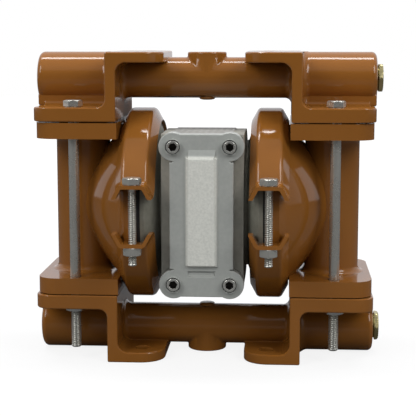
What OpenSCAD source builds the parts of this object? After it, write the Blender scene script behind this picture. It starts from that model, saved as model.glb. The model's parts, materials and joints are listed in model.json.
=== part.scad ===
// Air operated double diaphragm pump with bolted cast manifolds.
// X runs along the two chambers, the valve cover faces -Y and the pump stands on Z = 0,
// with the origin between the four lower foot holes.

/* [Overall] */
// Distance of each chamber joint face from the middle of the height
joint_z = 66.4; // [65:0.2:67.6]
// Width of the gap that the seat seals leave between chamber and manifold flanges
seal_gap = 0.8; // [0.4:0.1:1.2]
// Depth of the castings from front to back
manifold_depth = 104; // [100:1:112]

/* [Manifolds] */
// Radius of the cast body round each port
end_body_r = 20.3; // [19:0.1:21.5]
// Radius of the rounded edge of each port body
end_edge_r = 4; // [2:0.5:6]
// How far the port faces stand out past the flange ends
port_stand = 2; // [1:0.5:6]
// Bore radius of the cross pipe
pipe_bore_r = 10.9; // [9.5:0.1:11.5]
// Wall of the cross pipe
pipe_wall = 5.1; // [4:0.1:6]
// Wall radius of the threaded ports
port_bore_r = 9.9; // [9:0.1:10.5]
// Depth of the threaded ports
port_depth = 14; // [10:1:16]
// Gap between each clamp and the cross web beside it
web_gap = 1.2; // [0.8:0.1:3]
// Thickness of the cross webs
web_t = 8.1; // [6:0.1:9]
// How far the manifold flanges reach past the valve columns
flange_lap = 10; // [7:0.5:11]
// Thickness of the manifold flanges
flange_t = 11; // [9:0.5:12]
// Radius of the outer flange corners
flange_corner_r = 12; // [8:1:16]
// Thickness of the foot plates
foot_t = 8; // [6:0.5:10]
// Length of the foot plates, from each web towards the middle
foot_len = 35.6; // [32:0.2:40]
// Radius of the inner foot corners
foot_corner_r = 19; // [10:1:20]
// Distance of the foot holes from the webs, along X
foot_hole_in = 18; // [14:0.2:20]
// Distance of the foot holes from the front and rear edges
foot_hole_edge = 18; // [16:0.5:22]
// Radius of the foot holes
foot_hole_r = 5.2; // [4:0.1:6]
// Radius of the fillet between web and foot
foot_fillet_r = 8; // [4:0.5:10]
// Radius of the fillets between web, flange and port body
web_fillet_r = 6.5; // [3:0.5:8]
// Radius of the fillet between each port body's neck and the flange under it
neck_fillet_r = 4; // [2:0.5:6]
// Radius of the fillet round the pipe at the webs and feet
pipe_fillet_r = 5; // [2:0.5:7]
// Radius of the blank boss in the middle of the pipe
boss_r = 15.4; // [13:0.2:15.6]
// Radius of the small casting nub opposite the boss
nub_r = 5.6; // [4:0.2:7]

/* [Liquid chambers] */
// Thickness of the chamber flanges
chamber_flange_t = 12.3; // [10:0.1:13]
// Radius of the outer chamber flange corners
chamber_corner_r = 15; // [10:1:18]
// Distance from each cross web to the valve column beside it
column_gap = 11.4; // [9:0.2:14]
// Wall of the valve columns round the seats
column_wall = 4.5; // [3.5:0.1:6]
// Radius of the fillet between column and flanges
column_fillet_r = 5; // [2:0.5:7]
// Wall of the domed shells, along X
dome_wall_x = 6; // [5:0.5:7.5]
// Height of the bulge of the dome over a plain cone
dome_bulge = 2.4; // [1:0.2:4]

/* [Check valves] */
// Radius of the valve balls
ball_r = 11; // [10:0.25:12]
// How far a ball lifts off its seat
ball_lift = 6; // [4:0.5:7]
// Wall of the ball cages
cage_wall = 3.05; // [2.6:0.05:3.4]
// How far each valve seat reaches past the bore over it, in radius
seat_land = 2.3; // [1.5:0.1:3]
// Height of the valve seats
seat_h = 7; // [5:0.5:8]
// How much narrower the passage through a seat is than its ball, in radius
seat_step = 2.7; // [2.2:0.1:3.4]

/* [Diaphragms and shaft] */
// Distance of each diaphragm plane from the middle of its clamp
diaphragm_inset = 3; // [2:0.25:4]
// Thickness of the diaphragm beads
bead_t = 2.8; // [2.2:0.1:3.4]
// Width of the rim that holds the bead
rim_w = 12.55; // [11.5:0.05:14]
// Thickness of the membranes
membrane_t = 2.4; // [1.8:0.1:2.6]
// Width of the free ring of a membrane, between its plates and the rim
free_ring = 26; // [24:0.5:30]
// Travel of the shaft each way from the middle
stroke = 6.5; // [5:0.25:7]
// Radius of the shaft
shaft_r = 6; // [5:0.25:7]
// Wall of the shaft bushings
bushing_wall = 3.5; // [2.5:0.25:4]
// Length of the shaft bushings
bushing_len = 11; // [8:0.5:14]

/* [Clamps] */
// Distance from each side of the centre block to the middle of the clamp beside it
air_chamber_w = 19.3; // [18:0.1:21]
// How far the clamps stand out past the chamber joint faces
clamp_rise = 9.2; // [8:0.2:10.4]
// Width of the flat of the clamp strip
strip_w = 18.6; // [17:0.2:20]
// Radial height of the clamp legs
leg_h = 10.1; // [8.4:0.1:11]
// How far each clamp leg flares out, along X
leg_flare = 5.6; // [4.5:0.1:6]
// Thickness of the clamp sheet
sheet_t = 2.6; // [2:0.1:3]
// Outer radius of the bends between the flat of the strip and its legs
strip_bend_r = 4; // [3.4:0.1:4.4]
// Distance of the ear faces from the middle of the height, where they face each other
ear_z = 20.6; // [16:0.2:23]
// How far the ears reach past the strip's outer face
ear_len = 12.9; // [11:0.1:16]
// Radius of the bend between strip and ear
ear_bend_r = 4; // [3:0.25:5]

/* [Centre section] */
// Half width of the centre block, where the air chambers rest on it
block_x = 31.2; // [30:0.1:33]
// How much smaller the round of the centre block is than the clamps, in radius
block_drop = 16.6; // [15:0.1:19]
// Distance of the front face of the centre block from the middle
block_front = 59; // [57:0.5:61]
// How much smaller the neck of each air chamber is than its shoulder, in radius
neck_drop = 15.5; // [13:0.5:17]
// Thickness of the floor of each air chamber
air_floor_t = 4; // [3:0.2:4.5]
// Wall of the valve sleeve
sleeve_wall = 3.8; // [3:0.1:5]
// Radius of the valve spool
spool_r = 6.8; // [5.5:0.1:7.5]
// Travel of the valve spool
spool_travel = 9; // [6:0.5:11]
// Radius of the pilot spool
pilot_r = 3; // [2.5:0.1:3.6]
// Travel of the pilot spool each way
pilot_travel = 2; // [1.5:0.1:2.4]

/* [Valve cover] */
// Height of the middle of the cover above the middle of the pump
cover_z = -1.6; // [-3:0.2:0]
// Distance of the cover screws from the sides of the block
cover_screw_in = 10; // [9:0.2:11]
// Distance of the cover screws from the block's top and bottom, at half the cover's height
cover_screw_down = 7; // [6:0.5:9]
// Radius of the lobe round each cover screw
lobe_r = 10.9; // [9:0.1:11.5]
// Thickness of the cover
cover_t = 10; // [7:0.5:12]
// Thickness of the cover gasket
gasket_t = 1; // [0.6:0.1:1.6]
// Half width of the raised panel at its foot
panel_x = 12.6; // [11:0.2:14]
// Height of the raised panel over the cover
panel_rise = 2.6; // [1.5:0.1:4]

/* [Fasteners] */
// Thread radius of the tie bolts
bolt_r = 4; // [3:0.1:4.2]
// Thread radius of the clamp bolts
clamp_bolt_r = 3.2; // [3:0.1:4]
// Distance of the tie bolts from the front and rear edges of the castings
tie_edge = 10.5; // [9:0.5:14]
// Free end of the tie bolts, above the lower foot faces
tie_end_z = 10; // [6:1:20]
// Half width of the hexagons of bolts and nuts, across flats
hex_flat = 6.5; // [5:0.1:7]
// Height of the hexagon bolt heads
head_h = 5.3; // [4:0.1:6]
// Height of the hexagon nuts
nut_h = 6.2; // [5:0.1:7]
// Radius of the flange of the tie bolt nuts
tie_nut_r = 7.8; // [7:0.1:9]
// Height of the flange of the tie bolt nuts
tie_nut_t = 2.4; // [2:0.1:4]
// Thread radius of the cover screws
cover_screw_r = 3; // [2:0.1:3.2]
// Height of the pipe plug heads
plug_head_h = 5; // [4:0.5:7]

/* [Air connections] */
// How far the rear pad stands out past the round of the block
pad_rise = 4; // [2:0.5:7]
// Distance of each air port above and below the middle
air_port_z = 19; // [17:0.5:22]
// Wall radius of the air inlet
inlet_r = 6.2; // [5:0.1:7]
// Depth of the air inlet and of the exhaust port
air_port_depth = 14; // [10:1:16]
// Radius of the exhaust port
exhaust_r = 7.8; // [6:0.1:8.5]
// Radius of the muffler body
muffler_r = 11.5; // [10:0.5:13]
// Length of the muffler outside the pump
muffler_len = 38; // [30:1:50]

/* [Hidden] */
$fn = 96;

casting_paint = "#8a5a2a";
raw_aluminium = "#6d6b60";
cover_grey = "#aeb1ab";
zinc_steel = "#b9bab6";
stainless = "#c9cac6";
nickel_brass = "#bfae7c";
black_rubber = "#26262a";
white_plastic = "#e8e6de";
blue_grey_plastic = "#5b6068";

// Common clearances: overrun of a cut, running fit, and the play between parts that only rest
over = 1;
fit = 0.05;
play = 0.3;
turn = 360;

// Heights above the middle of the pump
body_gap = 0.9;
body_drop = 0.3;
flange_z = joint_z + seal_gap;
flange_top = flange_z + flange_t;
foot_top = flange_top + body_gap + 2 * end_body_r + body_drop;
foot_under = foot_top - foot_t;
pipe_z = foot_top - body_drop - end_body_r;
mid_z = foot_top;
pipe_r = pipe_bore_r + pipe_wall;
boss_drop = 0.4;
nub_rise = 1.1;
neck_share = 0.74;
neck_half_y = end_body_r * neck_share;

// Places along X, from the block outwards
clamp_x = block_x + air_chamber_w;
web_x = clamp_x + strip_w / 2 + leg_flare + web_gap;
valve_bore_r = ball_r + 2 * play + cage_wall + fit;
seat_r = valve_bore_r + seat_land;
column_r = seat_r + column_wall;
column_x = web_x + column_gap + column_r;
flange_reach = column_x + column_r + flange_lap;
flange_step = 1.2;
chamber_reach = flange_reach - flange_step;
port_face_x = flange_reach + port_stand;
foot_x = web_x - foot_len;
foot_hole_x = web_x - foot_hole_in;
foot_hole_y = manifold_depth / 2 - foot_hole_edge;
tie_step = 1;
tie_x = column_x + tie_step;
tie_y = manifold_depth / 2 - tie_edge;

// Clamp legs seen along the strip: the shoulder of a flange follows their inner face
clamp_r = joint_z + clamp_rise;
leg_slope = leg_flare / leg_h;
leg_stretch = sqrt(1 + leg_slope * leg_slope);
leg_cover = sheet_t * leg_stretch;
rim_gap = 0.45;
rim_r = clamp_r - sheet_t - rim_gap;
shoulder_r = clamp_r - leg_h;
function shoulder_half(r) = strip_w / 2 + (clamp_r - r) * leg_slope - leg_cover - play;

// Dome of a liquid chamber, from its shoulder to the valve column
dome_x = clamp_x + shoulder_half(shoulder_r);
dome_tip_shares = [0.97, 0.22];
dome_tip_r = column_r * dome_tip_shares[0];
dome_tip_x = column_x - column_r * dome_tip_shares[1];
dome_run = dome_tip_x - dome_x;
dome_fall = shoulder_r - dome_tip_r;
dome_chord = norm([dome_run, dome_fall]);
dome_arc_r = (dome_chord * dome_chord / 4 + dome_bulge * dome_bulge) / (2 * dome_bulge);
dome_sink = dome_arc_r - dome_bulge;
dome_centre = [
    (shoulder_r + dome_tip_r) / 2 - dome_sink * dome_run / dome_chord,
    (dome_x + dome_tip_x) / 2 - dome_sink * dome_fall / dome_chord];

// Valve stack: seat, seal, cage and ball, one above the other
seat_bore_r = ball_r - seat_step;
seat_lip_w = 1;
seat_lip_r = seat_bore_r + seat_lip_w;
seat_lip_depth = 1.2;
seat_slope = seat_lip_depth / seat_lip_w;
ball_rise = ball_r * sqrt(1 + seat_slope * seat_slope) - seat_slope * seat_lip_r + fit;
cage_r = valve_bore_r - fit;
cage_bore_r = ball_r + 2 * play;
cage_top_t = 2;
cage_h = ball_rise + ball_r + ball_lift + play + cage_top_t - seal_gap;
cage_rail = 2.4;
stop_share = 0.7;
cage_stop_r = ball_r * stop_share;
window_share = 0.9;
window_w = cage_bore_r * window_share;
discharge_seat_z = joint_z;
suction_seat_z = -flange_z;
seal_lap = 1.8;
seal_r = seat_r + seal_lap;

// Diaphragm, plates and shaft along X
diaphragm_x = clamp_x - diaphragm_inset;
cavity_r = rim_r - rim_w;
plate_r = cavity_r - free_ring;
bushing_r = shaft_r + bushing_wall;
bead_in = diaphragm_x - bead_t / 2;
bead_out = diaphragm_x + bead_t / 2;
bead_inset = 1;
bead_r = rim_r - bead_inset;
plate_gap = membrane_t / 2 + fit;
plate_t = 3;
plate_edge_r = 1;
roll_r = 5;
roll_shift = 2;
roll_centre_r = (plate_r + cavity_r) / 2 + roll_shift;
inner_plate_x = diaphragm_x - plate_gap - plate_t;
outer_plate_x = diaphragm_x + plate_gap;
hub_r = 14;
hub_h = 7.5;
shaft_end = outer_plate_x + hub_h;
seal_len = 4;

// Air chambers: floor, neck and the screws that hold them to the block
neck_r = shoulder_r - neck_drop;
air_floor_x = block_x + air_floor_t;
neck_step = 3;
floor_r = neck_r - neck_step;
neck_len = 2.2;
neck_end_x = block_x + neck_len;
air_screw_r = 3;
air_screw_head_r = 4.4;
air_screw_head_h = 3;
air_screw_len = 14;
air_screw_gap = 3;
air_screw_circle = plate_r + air_screw_head_r + air_screw_gap;
air_screw_count = 4;

// Centre block, with the machined pad on its top
block_r = clamp_r - block_drop;
top_pad_in = 8;
top_pad_x = block_x - top_pad_in;
top_pad_rise = 0.8;

// Valve chest and pilot valve
cover_screw_x = block_x - cover_screw_in;
cover_screw_z = block_r - cover_screw_down;
sleeve_r = spool_r + sleeve_wall;
chest_gap = 0.4;
chest_x = sleeve_r + chest_gap;
chest_edge = 11;
chest_z = cover_screw_z - chest_edge;
sleeve_inset = 1;
chest_back = 1.4;
chest_depth = sleeve_inset + chest_x + sleeve_r + chest_back;
sleeve_y = sleeve_inset + chest_x - block_front;
bumper_t = 3;
sleeve_half = chest_z - bumper_t - play;
spool_len = 2 * sleeve_half - spool_travel;
land_share = 0.2;
waist_share = 0.6;
spool_waist_r = spool_r * waist_share;
sleeve_port_r = 3;
pilot_wall = 2.2;
pilot_sleeve_r = pilot_r + pilot_wall;
pilot_web = 4.3;
pilot_y = bushing_r + pilot_web + pilot_sleeve_r;
pilot_sleeve_share = 0.8;
pilot_sleeve_len = 2 * block_x * pilot_sleeve_share;
pilot_half = inner_plate_x - stroke + pilot_travel - play;
pilot_waist_r = pilot_r * waist_share;

// Valve cover
waist_step = 2.8;
waist_x = cover_screw_x + waist_step;
cover_back = block_front + gasket_t;
cover_front = cover_back + cover_t;
lobe_rise = 1.4;
cover_top_z = cover_screw_z + lobe_r - lobe_rise;
arm_share = 0.78;
arm_z = cover_screw_z * arm_share;
panel_slope = 2.6;
panel_top_x = panel_x - panel_slope;
panel_low_gap = 14.2;
panel_low = panel_low_gap - cover_screw_z;
panel_high_gap = 8.6;
panel_high = cover_screw_z - panel_high_gap;
panel_ramp = 6.4;
groove_gap = 4.4;
groove_w = 3.6;
groove_high = panel_low - groove_gap;
groove_depth = 1;
cover_screw_head_r = 5.9;
cover_screw_head_h = 3;
cover_screw_edge_r = 2.2;
cover_screw_len = 20;
drive_r = 2.4;
drive_depth = 1.4;
under_boss_r = 13;
under_boss_drop = 8.5;

// Rear pad and muffler
pad_y = block_r + pad_rise;
pad_margin = 17;
pad_x = 24;
pad_z = air_port_z + pad_margin;
pad_corner_r = 8;
muffler_collar_t = 6;
muffler_ribs = 6;
muffler_rib_t = 1.6;
muffler_rib_h = 2.2;
muffler_neck_r = muffler_r - muffler_rib_h;

// Pipe plugs
plug_step = 0.7;
plug_flat = port_bore_r + plug_step;
plug_shank_r = port_bore_r - fit;
plug_end_gap = 2;
plug_shank_len = port_depth - plug_end_gap;
plug_lip = 0.7;
plug_collar_r = port_bore_r + plug_lip;
plug_collar_t = 1.2;
plug_socket_r = 5;
plug_socket_depth = 3;

// Ears of the clamps: the bend axis, and the place of the clamp bolts
ear_reach = clamp_r + ear_len;
ear_top = ear_z + sheet_t;
bend_z = ear_top + ear_bend_r;
bend_angle = asin(bend_z / (clamp_r + ear_bend_r));
bend_y = (clamp_r + ear_bend_r) * cos(bend_angle);
clamp_bolt_y = (bend_y + ear_reach) / 2 + play;
clamp_bolt_extra = 8;
clamp_bolt_tail = ear_top + nut_h + clamp_bolt_extra;

// Hexagons: the crown that the chamfer leaves, and how heads came to rest
crown_share = 0.96;
skirt_share = 1.25;
tie_head_turn = -18;
clamp_head_turn = -8;

// Tie bolts: their holes above, and the shanks of their flanged nuts below
tie_hole_gap = 0.5;
tie_hole_r = bolt_r + tie_hole_gap;
tie_shank_wall = 1.7;
tie_shank_r = bolt_r + tie_shank_wall;
tie_shank_share = 0.8;
tie_shank_len = flange_t * tie_shank_share;

// Places a shape that is drawn round the middle of the pump
module at_middle() translate([0, 0, mid_z]) children();

// Right side as drawn for s = 1, left side mirrored for s = -1
module side(s) mirror([s < 0 ? 1 : 0, 0, 0]) children();

// Lays a body of revolution along X, with its Z turned to +X
module along_x() rotate([0, 90, 0]) children();

// Lays an X-Z outline out along Y, centred
module along_y(depth) rotate([90, 0, 0]) linear_extrude(depth, center = true) children();

// Four copies, mirrored in X and Y
module four(x, y) {
    for (sx = [-1, 1]) {
        for (sy = [-1, 1]) {
            translate([sx * x, sy * y, 0]) children();
        }
    }
}

// Plate seen from above, from x_in to x_out, with round corners at both ends
module plate_outline(x_in, x_out, half_y, r_in, r_out) {
    translate([x_in + r_in, -half_y]) square([x_out - x_in - r_in - r_out, 2 * half_y]);
    translate([x_in, -half_y + r_in]) square([r_in + over, 2 * (half_y - r_in)]);
    translate([x_out - r_out - over, -half_y + r_out]) square([r_out + over, 2 * (half_y - r_out)]);
    for (s = [-1, 1]) {
        translate([x_in + r_in, s * (half_y - r_in)]) circle(r = r_in);
        translate([x_out - r_out, s * (half_y - r_out)]) circle(r = r_out);
    }
}

// Material that rounds an inner corner, which lies at the origin and opens to +X and +Y
module corner_fillet(r) {
    difference() {
        translate([-over, -over]) square(r + over);
        translate([r, r]) circle(r = r);
    }
}

// Ring of material that rounds the corner between a cylinder and a face above it
module ring_fillet(r, fillet) {
    rotate_extrude() {
        difference() {
            translate([r - over, -over]) square([fillet + over, fillet + over]);
            translate([r + fillet, fillet]) circle(r = fillet);
        }
    }
}

// Cylinder with one rounded edge at its far end
module rounded_bar(r, len, edge) {
    rotate_extrude() {
        square([r - edge, len]);
        square([r, len - edge]);
        translate([r - edge, len - edge]) intersection() {
            circle(r = edge);
            square(edge + over);
        }
    }
}

// Hexagon with its flats facing X, and its corners chamfered at the upper end
module hexagon(flat, h) {
    crown = flat * crown_share;
    skirt = flat * skirt_share;
    intersection() {
        rotate([0, 0, 30]) cylinder(r = flat / cos(30), h = h, $fn = 6);
        rotate_extrude() polygon([[0, 0], [skirt, 0], [skirt, h - (skirt - crown) * tan(30)], [crown, h], [0, h]]);
    }
}

// Front view of one manifold end: flange, cross web and foot plate in one bent wall
module manifold_end_outline() {
    translate([web_x, flange_z]) square([flange_reach - web_x, flange_t]);
    translate([web_x, flange_z]) square([web_t, foot_top - flange_z]);
    translate([foot_x, foot_under]) square([web_x + web_t - foot_x, foot_t]);
    translate([web_x, foot_under]) rotate(180) corner_fillet(foot_fillet_r);
    translate([web_x + web_t, flange_top]) corner_fillet(web_fillet_r);
}

// One end of a manifold casting, on the right side
module manifold_end() {
    intersection() {
        along_y(manifold_depth) manifold_end_outline();
        translate([0, 0, flange_z - over]) linear_extrude(foot_top - flange_z + 2 * over)
            plate_outline(foot_x, flange_reach, manifold_depth / 2, foot_corner_r, flange_corner_r);
    }
    translate([web_x + over, 0, pipe_z]) along_x()
        rounded_bar(end_body_r, port_face_x - web_x - over, end_edge_r);
    translate([web_x + over, -neck_half_y, flange_z])
        cube([flange_reach - web_x - end_edge_r, 2 * neck_half_y, pipe_z - flange_z]);
    manifold_end_fillets();
}

// Fillets of one end: round the pipe inside, round the port body outside, and at its neck
module manifold_end_fillets() {
    half_y = manifold_depth / 2;
    intersection() {
        translate([web_x, 0, pipe_z]) rotate([0, -90, 0]) ring_fillet(pipe_r, pipe_fillet_r);
        translate([0, -half_y, flange_z]) cube([flange_reach, manifold_depth, foot_under - flange_z + over]);
    }
    intersection() {
        translate([web_x + web_t, 0, pipe_z]) along_x() ring_fillet(end_body_r, web_fillet_r);
        translate([0, -half_y, flange_z]) cube([flange_reach, manifold_depth, foot_top - flange_z]);
    }
    for (s = [-1, 1]) mirror([0, s < 0 ? 1 : 0, 0]) {
        translate([web_x + over, neck_half_y, flange_top]) rotate([90, 0, 90])
            linear_extrude(flange_reach - web_x - end_edge_r) corner_fillet(neck_fillet_r);
        translate([web_x + web_t, neck_half_y, flange_top - over])
            linear_extrude(pipe_z - flange_top + over) corner_fillet(web_fillet_r);
    }
}

// Manifold casting in its upper place
module manifold_casting(hole_r) {
    difference() {
        union() {
            for (s = [-1, 1]) side(s) manifold_end();
            translate([-web_x - over, 0, pipe_z]) along_x() cylinder(r = pipe_r, h = 2 * (web_x + over));
            translate([0, 0, pipe_z]) cylinder(r = boss_r, h = foot_top - boss_drop - pipe_z);
            translate([0, 0, pipe_z - pipe_r - nub_rise]) cylinder(r = nub_r, h = pipe_r);
        }
        translate([-port_face_x + port_depth, 0, pipe_z]) along_x()
            cylinder(r = pipe_bore_r, h = 2 * (port_face_x - port_depth));
        translate([-port_face_x - over, 0, pipe_z]) along_x()
            cylinder(r = port_bore_r, h = 2 * (port_face_x + over));
        for (s = [-1, 1]) {
            translate([s * column_x, 0, flange_z - over]) cylinder(r = valve_bore_r, h = pipe_z - flange_z + over);
        }
        four(tie_x, tie_y) translate([0, 0, flange_z - over]) cylinder(r = hole_r, h = flange_t + 2 * over);
        four(foot_hole_x, foot_hole_y) translate([0, 0, foot_under - over])
            cylinder(r = foot_hole_r, h = foot_t + 2 * over);
    }
}

module discharge_manifold() {
    color(casting_paint) at_middle() manifold_casting(tie_hole_r);
}

// The lower casting also holds the suction seats
module suction_manifold() {
    color(casting_paint) at_middle() mirror([0, 0, 1]) difference() {
        manifold_casting(tie_shank_r);
        column_pair(flange_z - over) cylinder(r = seat_r + fit, h = seat_h + over);
    }
}

// Half section of the dome's outer form, from the middle line out, as radius and distance along X
module dome_section(shift) {
    translate([0, -shift]) intersection() {
        translate(dome_centre) circle(r = dome_arc_r, $fn = 720);
        polygon([[0, bead_out], [shoulder_r, bead_out], [shoulder_r, dome_x],
            [shoulder_r, dome_tip_x], [0, dome_tip_x]]);
    }
}

// Half section of the rim of a liquid chamber, with the shoulder that the clamp presses
module liquid_rim_section() {
    polygon([[0, bead_out], [rim_r, bead_out], [rim_r, clamp_x + shoulder_half(rim_r)],
        [shoulder_r, dome_x], [0, dome_x]]);
}

module liquid_chamber() {
    half_y = manifold_depth / 2 - over;
    difference() {
        union() {
            for (s = [-1, 1]) {
                translate([0, 0, s > 0 ? joint_z - chamber_flange_t : -joint_z])
                    linear_extrude(chamber_flange_t)
                    plate_outline(web_x - play * 2, chamber_reach, half_y, play, chamber_corner_r);
                mirror([0, 0, s < 0 ? 1 : 0]) translate([column_x, 0, joint_z - chamber_flange_t])
                    rotate([180, 0, 0]) ring_fillet(column_r, column_fillet_r);
            }
            translate([column_x, 0, -joint_z + over]) cylinder(r = column_r, h = 2 * (joint_z - over));
            along_x() rotate_extrude($fn = 180) {
                dome_section(0);
                liquid_rim_section();
            }
        }
        along_x() rotate_extrude($fn = 180) intersection() {
            dome_section(dome_wall_x);
            square([cavity_r, column_x]);
        }
        translate([bead_out - over, 0, 0]) along_x() cylinder(r = cavity_r, h = dome_x - bead_out - over);
        translate([column_x, 0, -joint_z - over]) cylinder(r = valve_bore_r, h = 2 * (joint_z + over));
        translate([column_x, 0, joint_z - seat_h]) cylinder(r = seat_r + fit, h = seat_h + over);
        for (s = [-1, 1]) {
            translate([tie_x, s * tie_y, -joint_z - over]) cylinder(r = tie_hole_r, h = 2 * (joint_z + over));
        }
    }
}

module liquid_chamber_left() color(casting_paint) at_middle() side(-1) liquid_chamber();
module liquid_chamber_right() color(casting_paint) at_middle() side(1) liquid_chamber();

// Half section of an air chamber: rim, sloping wall and floor, open towards the diaphragm
module air_chamber_section() {
    slope_x = clamp_x - shoulder_half(shoulder_r);
    polygon([[bushing_r, block_x], [neck_r, block_x], [neck_r, neck_end_x], [shoulder_r, slope_x],
        [rim_r, clamp_x - shoulder_half(rim_r)], [rim_r, bead_in], [cavity_r, bead_in],
        [cavity_r, bead_in - sheet_t], [floor_r, air_floor_x], [bushing_r, air_floor_x]]);
}

module air_chamber() {
    difference() {
        along_x() rotate_extrude($fn = 180) air_chamber_section();
        for (i = [0:air_screw_count - 1]) {
            along_x() rotate(turn * (i + 0.5) / air_screw_count)
                translate([air_screw_circle, 0, block_x - over])
                cylinder(r = air_screw_r + fit, h = air_floor_t + 2 * over);
        }
        translate([block_x - over, pilot_y, 0]) along_x()
            cylinder(r = pilot_r + play, h = air_floor_t + 2 * over);
    }
}

module air_chamber_left() color(raw_aluminium) at_middle() side(-1) air_chamber();
module air_chamber_right() color(raw_aluminium) at_middle() side(1) air_chamber();

// Front view of the cover: four lobes round the screws, and a narrower waist
module cover_outline() {
    for (sx = [-1, 1]) {
        for (sz = [-1, 1]) {
            translate([sx * cover_screw_x, sz * cover_screw_z]) circle(r = lobe_r);
        }
    }
    translate([-cover_screw_x, -cover_top_z]) square([2 * cover_screw_x, 2 * cover_top_z]);
    translate([-waist_x, -arm_z]) square([2 * waist_x, 2 * arm_z]);
}

module centre_block() {
    color(raw_aluminium) at_middle() difference() {
        union() {
            translate([-block_x, 0, 0]) along_x() cylinder(r = block_r, h = 2 * block_x, $fn = 180);
            translate([-block_x, -block_front, -block_r]) cube([2 * block_x, block_front, 2 * block_r]);
            rear_pad();
            translate([-top_pad_x, -block_front, block_r - over])
                cube([2 * top_pad_x, block_front, top_pad_rise + over]);
            translate([0, -block_front / 2, -block_r - under_boss_drop])
                cylinder(r = under_boss_r, h = under_boss_drop + over);
        }
        translate([-block_x - over, 0, 0]) along_x() cylinder(r = bushing_r - over, h = 2 * (block_x + over));
        for (s = [-1, 1]) side(s) translate([block_x - bushing_len - seal_len, 0, 0]) along_x()
            cylinder(r = bushing_r + fit, h = bushing_len + seal_len + over);
        translate([-block_x - over, pilot_y, 0]) along_x()
            cylinder(r = pilot_sleeve_r + fit, h = 2 * (block_x + over));
        translate([-chest_x, -block_front - over, cover_z - chest_z])
            cube([2 * chest_x, chest_depth + over, 2 * chest_z]);
        for (sx = [-1, 1]) {
            for (sz = [-1, 1]) {
                translate([sx * cover_screw_x, -block_front - over, cover_z + sz * cover_screw_z])
                    rotate([-90, 0, 0]) cylinder(r = cover_screw_r + fit, h = cover_screw_len + over);
            }
            for (i = [0:air_screw_count - 1]) {
                side(sx) along_x() rotate(turn * (i + 0.5) / air_screw_count)
                    translate([air_screw_circle, 0, block_x - air_screw_len])
                    cylinder(r = air_screw_r + fit, h = air_screw_len + over);
            }
        }
        translate([0, pad_y + over, air_port_z]) rotate([90, 0, 0]) cylinder(r = inlet_r, h = air_port_depth + over);
        translate([0, pad_y + over, -air_port_z]) rotate([90, 0, 0]) cylinder(r = exhaust_r, h = air_port_depth + over);
    }
}

// Raised rectangular pad on the back of the block, for the air connections
module rear_pad() {
    translate([0, pad_y, 0]) rotate([90, 0, 0]) linear_extrude(pad_y - block_r / 2) {
        square([2 * (pad_x - pad_corner_r), 2 * pad_z], center = true);
        square([2 * pad_x, 2 * (pad_z - pad_corner_r)], center = true);
        four(pad_x - pad_corner_r, pad_z - pad_corner_r) circle(r = pad_corner_r);
    }
}

// How far a bend of the strip runs along the flat and along a leg, for an outer radius of 1
leg_angle = atan(1 / leg_slope);
bend_run_share = tan(leg_angle / 2);

// How far the bend of an ear runs into the ring, and how much fuller bend and ear are than the ring
lap_angle = 1;
bend_full = 0.04;
ear_full = 0.08;
ear_lap = 0.3;
ear_face = ear_top + ear_full;
bend_ease = 0.01;

// Room inside the faces of the strip that lie d under its outer face, down to a depth
module channel(d, depth) {
    r = strip_bend_r - d;
    run = r * bend_run_share;
    corner = strip_w / 2 - d * (leg_stretch - leg_slope);
    turned = [d + run * sin(leg_angle), corner + run * cos(leg_angle)];
    tip = [depth, corner + (depth - d) * leg_slope];
    difference() {
        polygon([[d, -corner], [d, corner], tip, [tip[0], -tip[1]]]);
        for (s = [-1, 1]) mirror([0, s < 0 ? 1 : 0]) difference() {
            polygon([[d - over, corner - run], [d - over, corner + over], [d + over, corner + over],
                turned, [d + r, corner - run]]);
            translate([d + r, corner - run]) circle(r = r + bend_ease);
        }
    }
}

// Section of the strip with its outer face at distance r, its legs towards or away from the axis,
// and all its faces set out by a small amount
module strip_outline(r, way, full) {
    translate([r, 0]) mirror([way < 0 ? 1 : 0, 0]) difference() {
        channel(-full, leg_h + full);
        channel(sheet_t + full, leg_h + full + over);
    }
}

// Upper half of one clamp, round the X axis
module clamp_half() {
    translate([clamp_x, 0, 0]) {
        // The half ring lies over the flange rims, from one bend to the other
        along_x() rotate(90 + bend_angle) rotate_extrude(angle = 180 - 2 * bend_angle, $fn = 180)
            strip_outline(clamp_r, -1, 0);
        for (s = [-1, 1]) mirror([0, s < 0 ? 1 : 0, 0]) {
            // The bend turns the strip outwards, and its legs fan out with it
            translate([0, bend_y, bend_z]) along_x() rotate(bend_angle - 90 - lap_angle)
                rotate_extrude(angle = 90 - bend_angle + lap_angle) strip_outline(ear_bend_r, 1, bend_full);
            // The ear carries the clamp bolt
            difference() {
                translate([0, ear_reach, ear_top]) rotate([90, 90, 0])
                    linear_extrude(ear_reach - bend_y + ear_lap) strip_outline(0, 1, ear_full);
                translate([0, clamp_bolt_y, ear_z - over]) cylinder(r = clamp_bolt_r + play, h = sheet_t + 2 * over);
            }
        }
    }
}
module clamp_upper_left() color(casting_paint) at_middle() side(-1) clamp_half();
module clamp_upper_right() color(casting_paint) at_middle() side(1) clamp_half();
module clamp_lower_left() color(casting_paint) at_middle() mirror([0, 0, 1]) side(-1) clamp_half();
module clamp_lower_right() color(casting_paint) at_middle() mirror([0, 0, 1]) side(1) clamp_half();

module clamp_bolts() {
    color(zinc_steel) at_middle() four(clamp_x, clamp_bolt_y) {
        translate([0, 0, ear_face]) rotate(clamp_head_turn) hexagon(hex_flat, head_h);
        translate([0, 0, -clamp_bolt_tail]) cylinder(r = clamp_bolt_r, h = clamp_bolt_tail + ear_face + over);
    }
}

module clamp_nuts() {
    color(zinc_steel) at_middle() four(clamp_x, clamp_bolt_y) translate([0, 0, -ear_face]) difference() {
        mirror([0, 0, 1]) hexagon(hex_flat, nut_h);
        translate([0, 0, -nut_h - over]) cylinder(r = clamp_bolt_r + fit, h = nut_h + 2 * over);
    }
}

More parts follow.
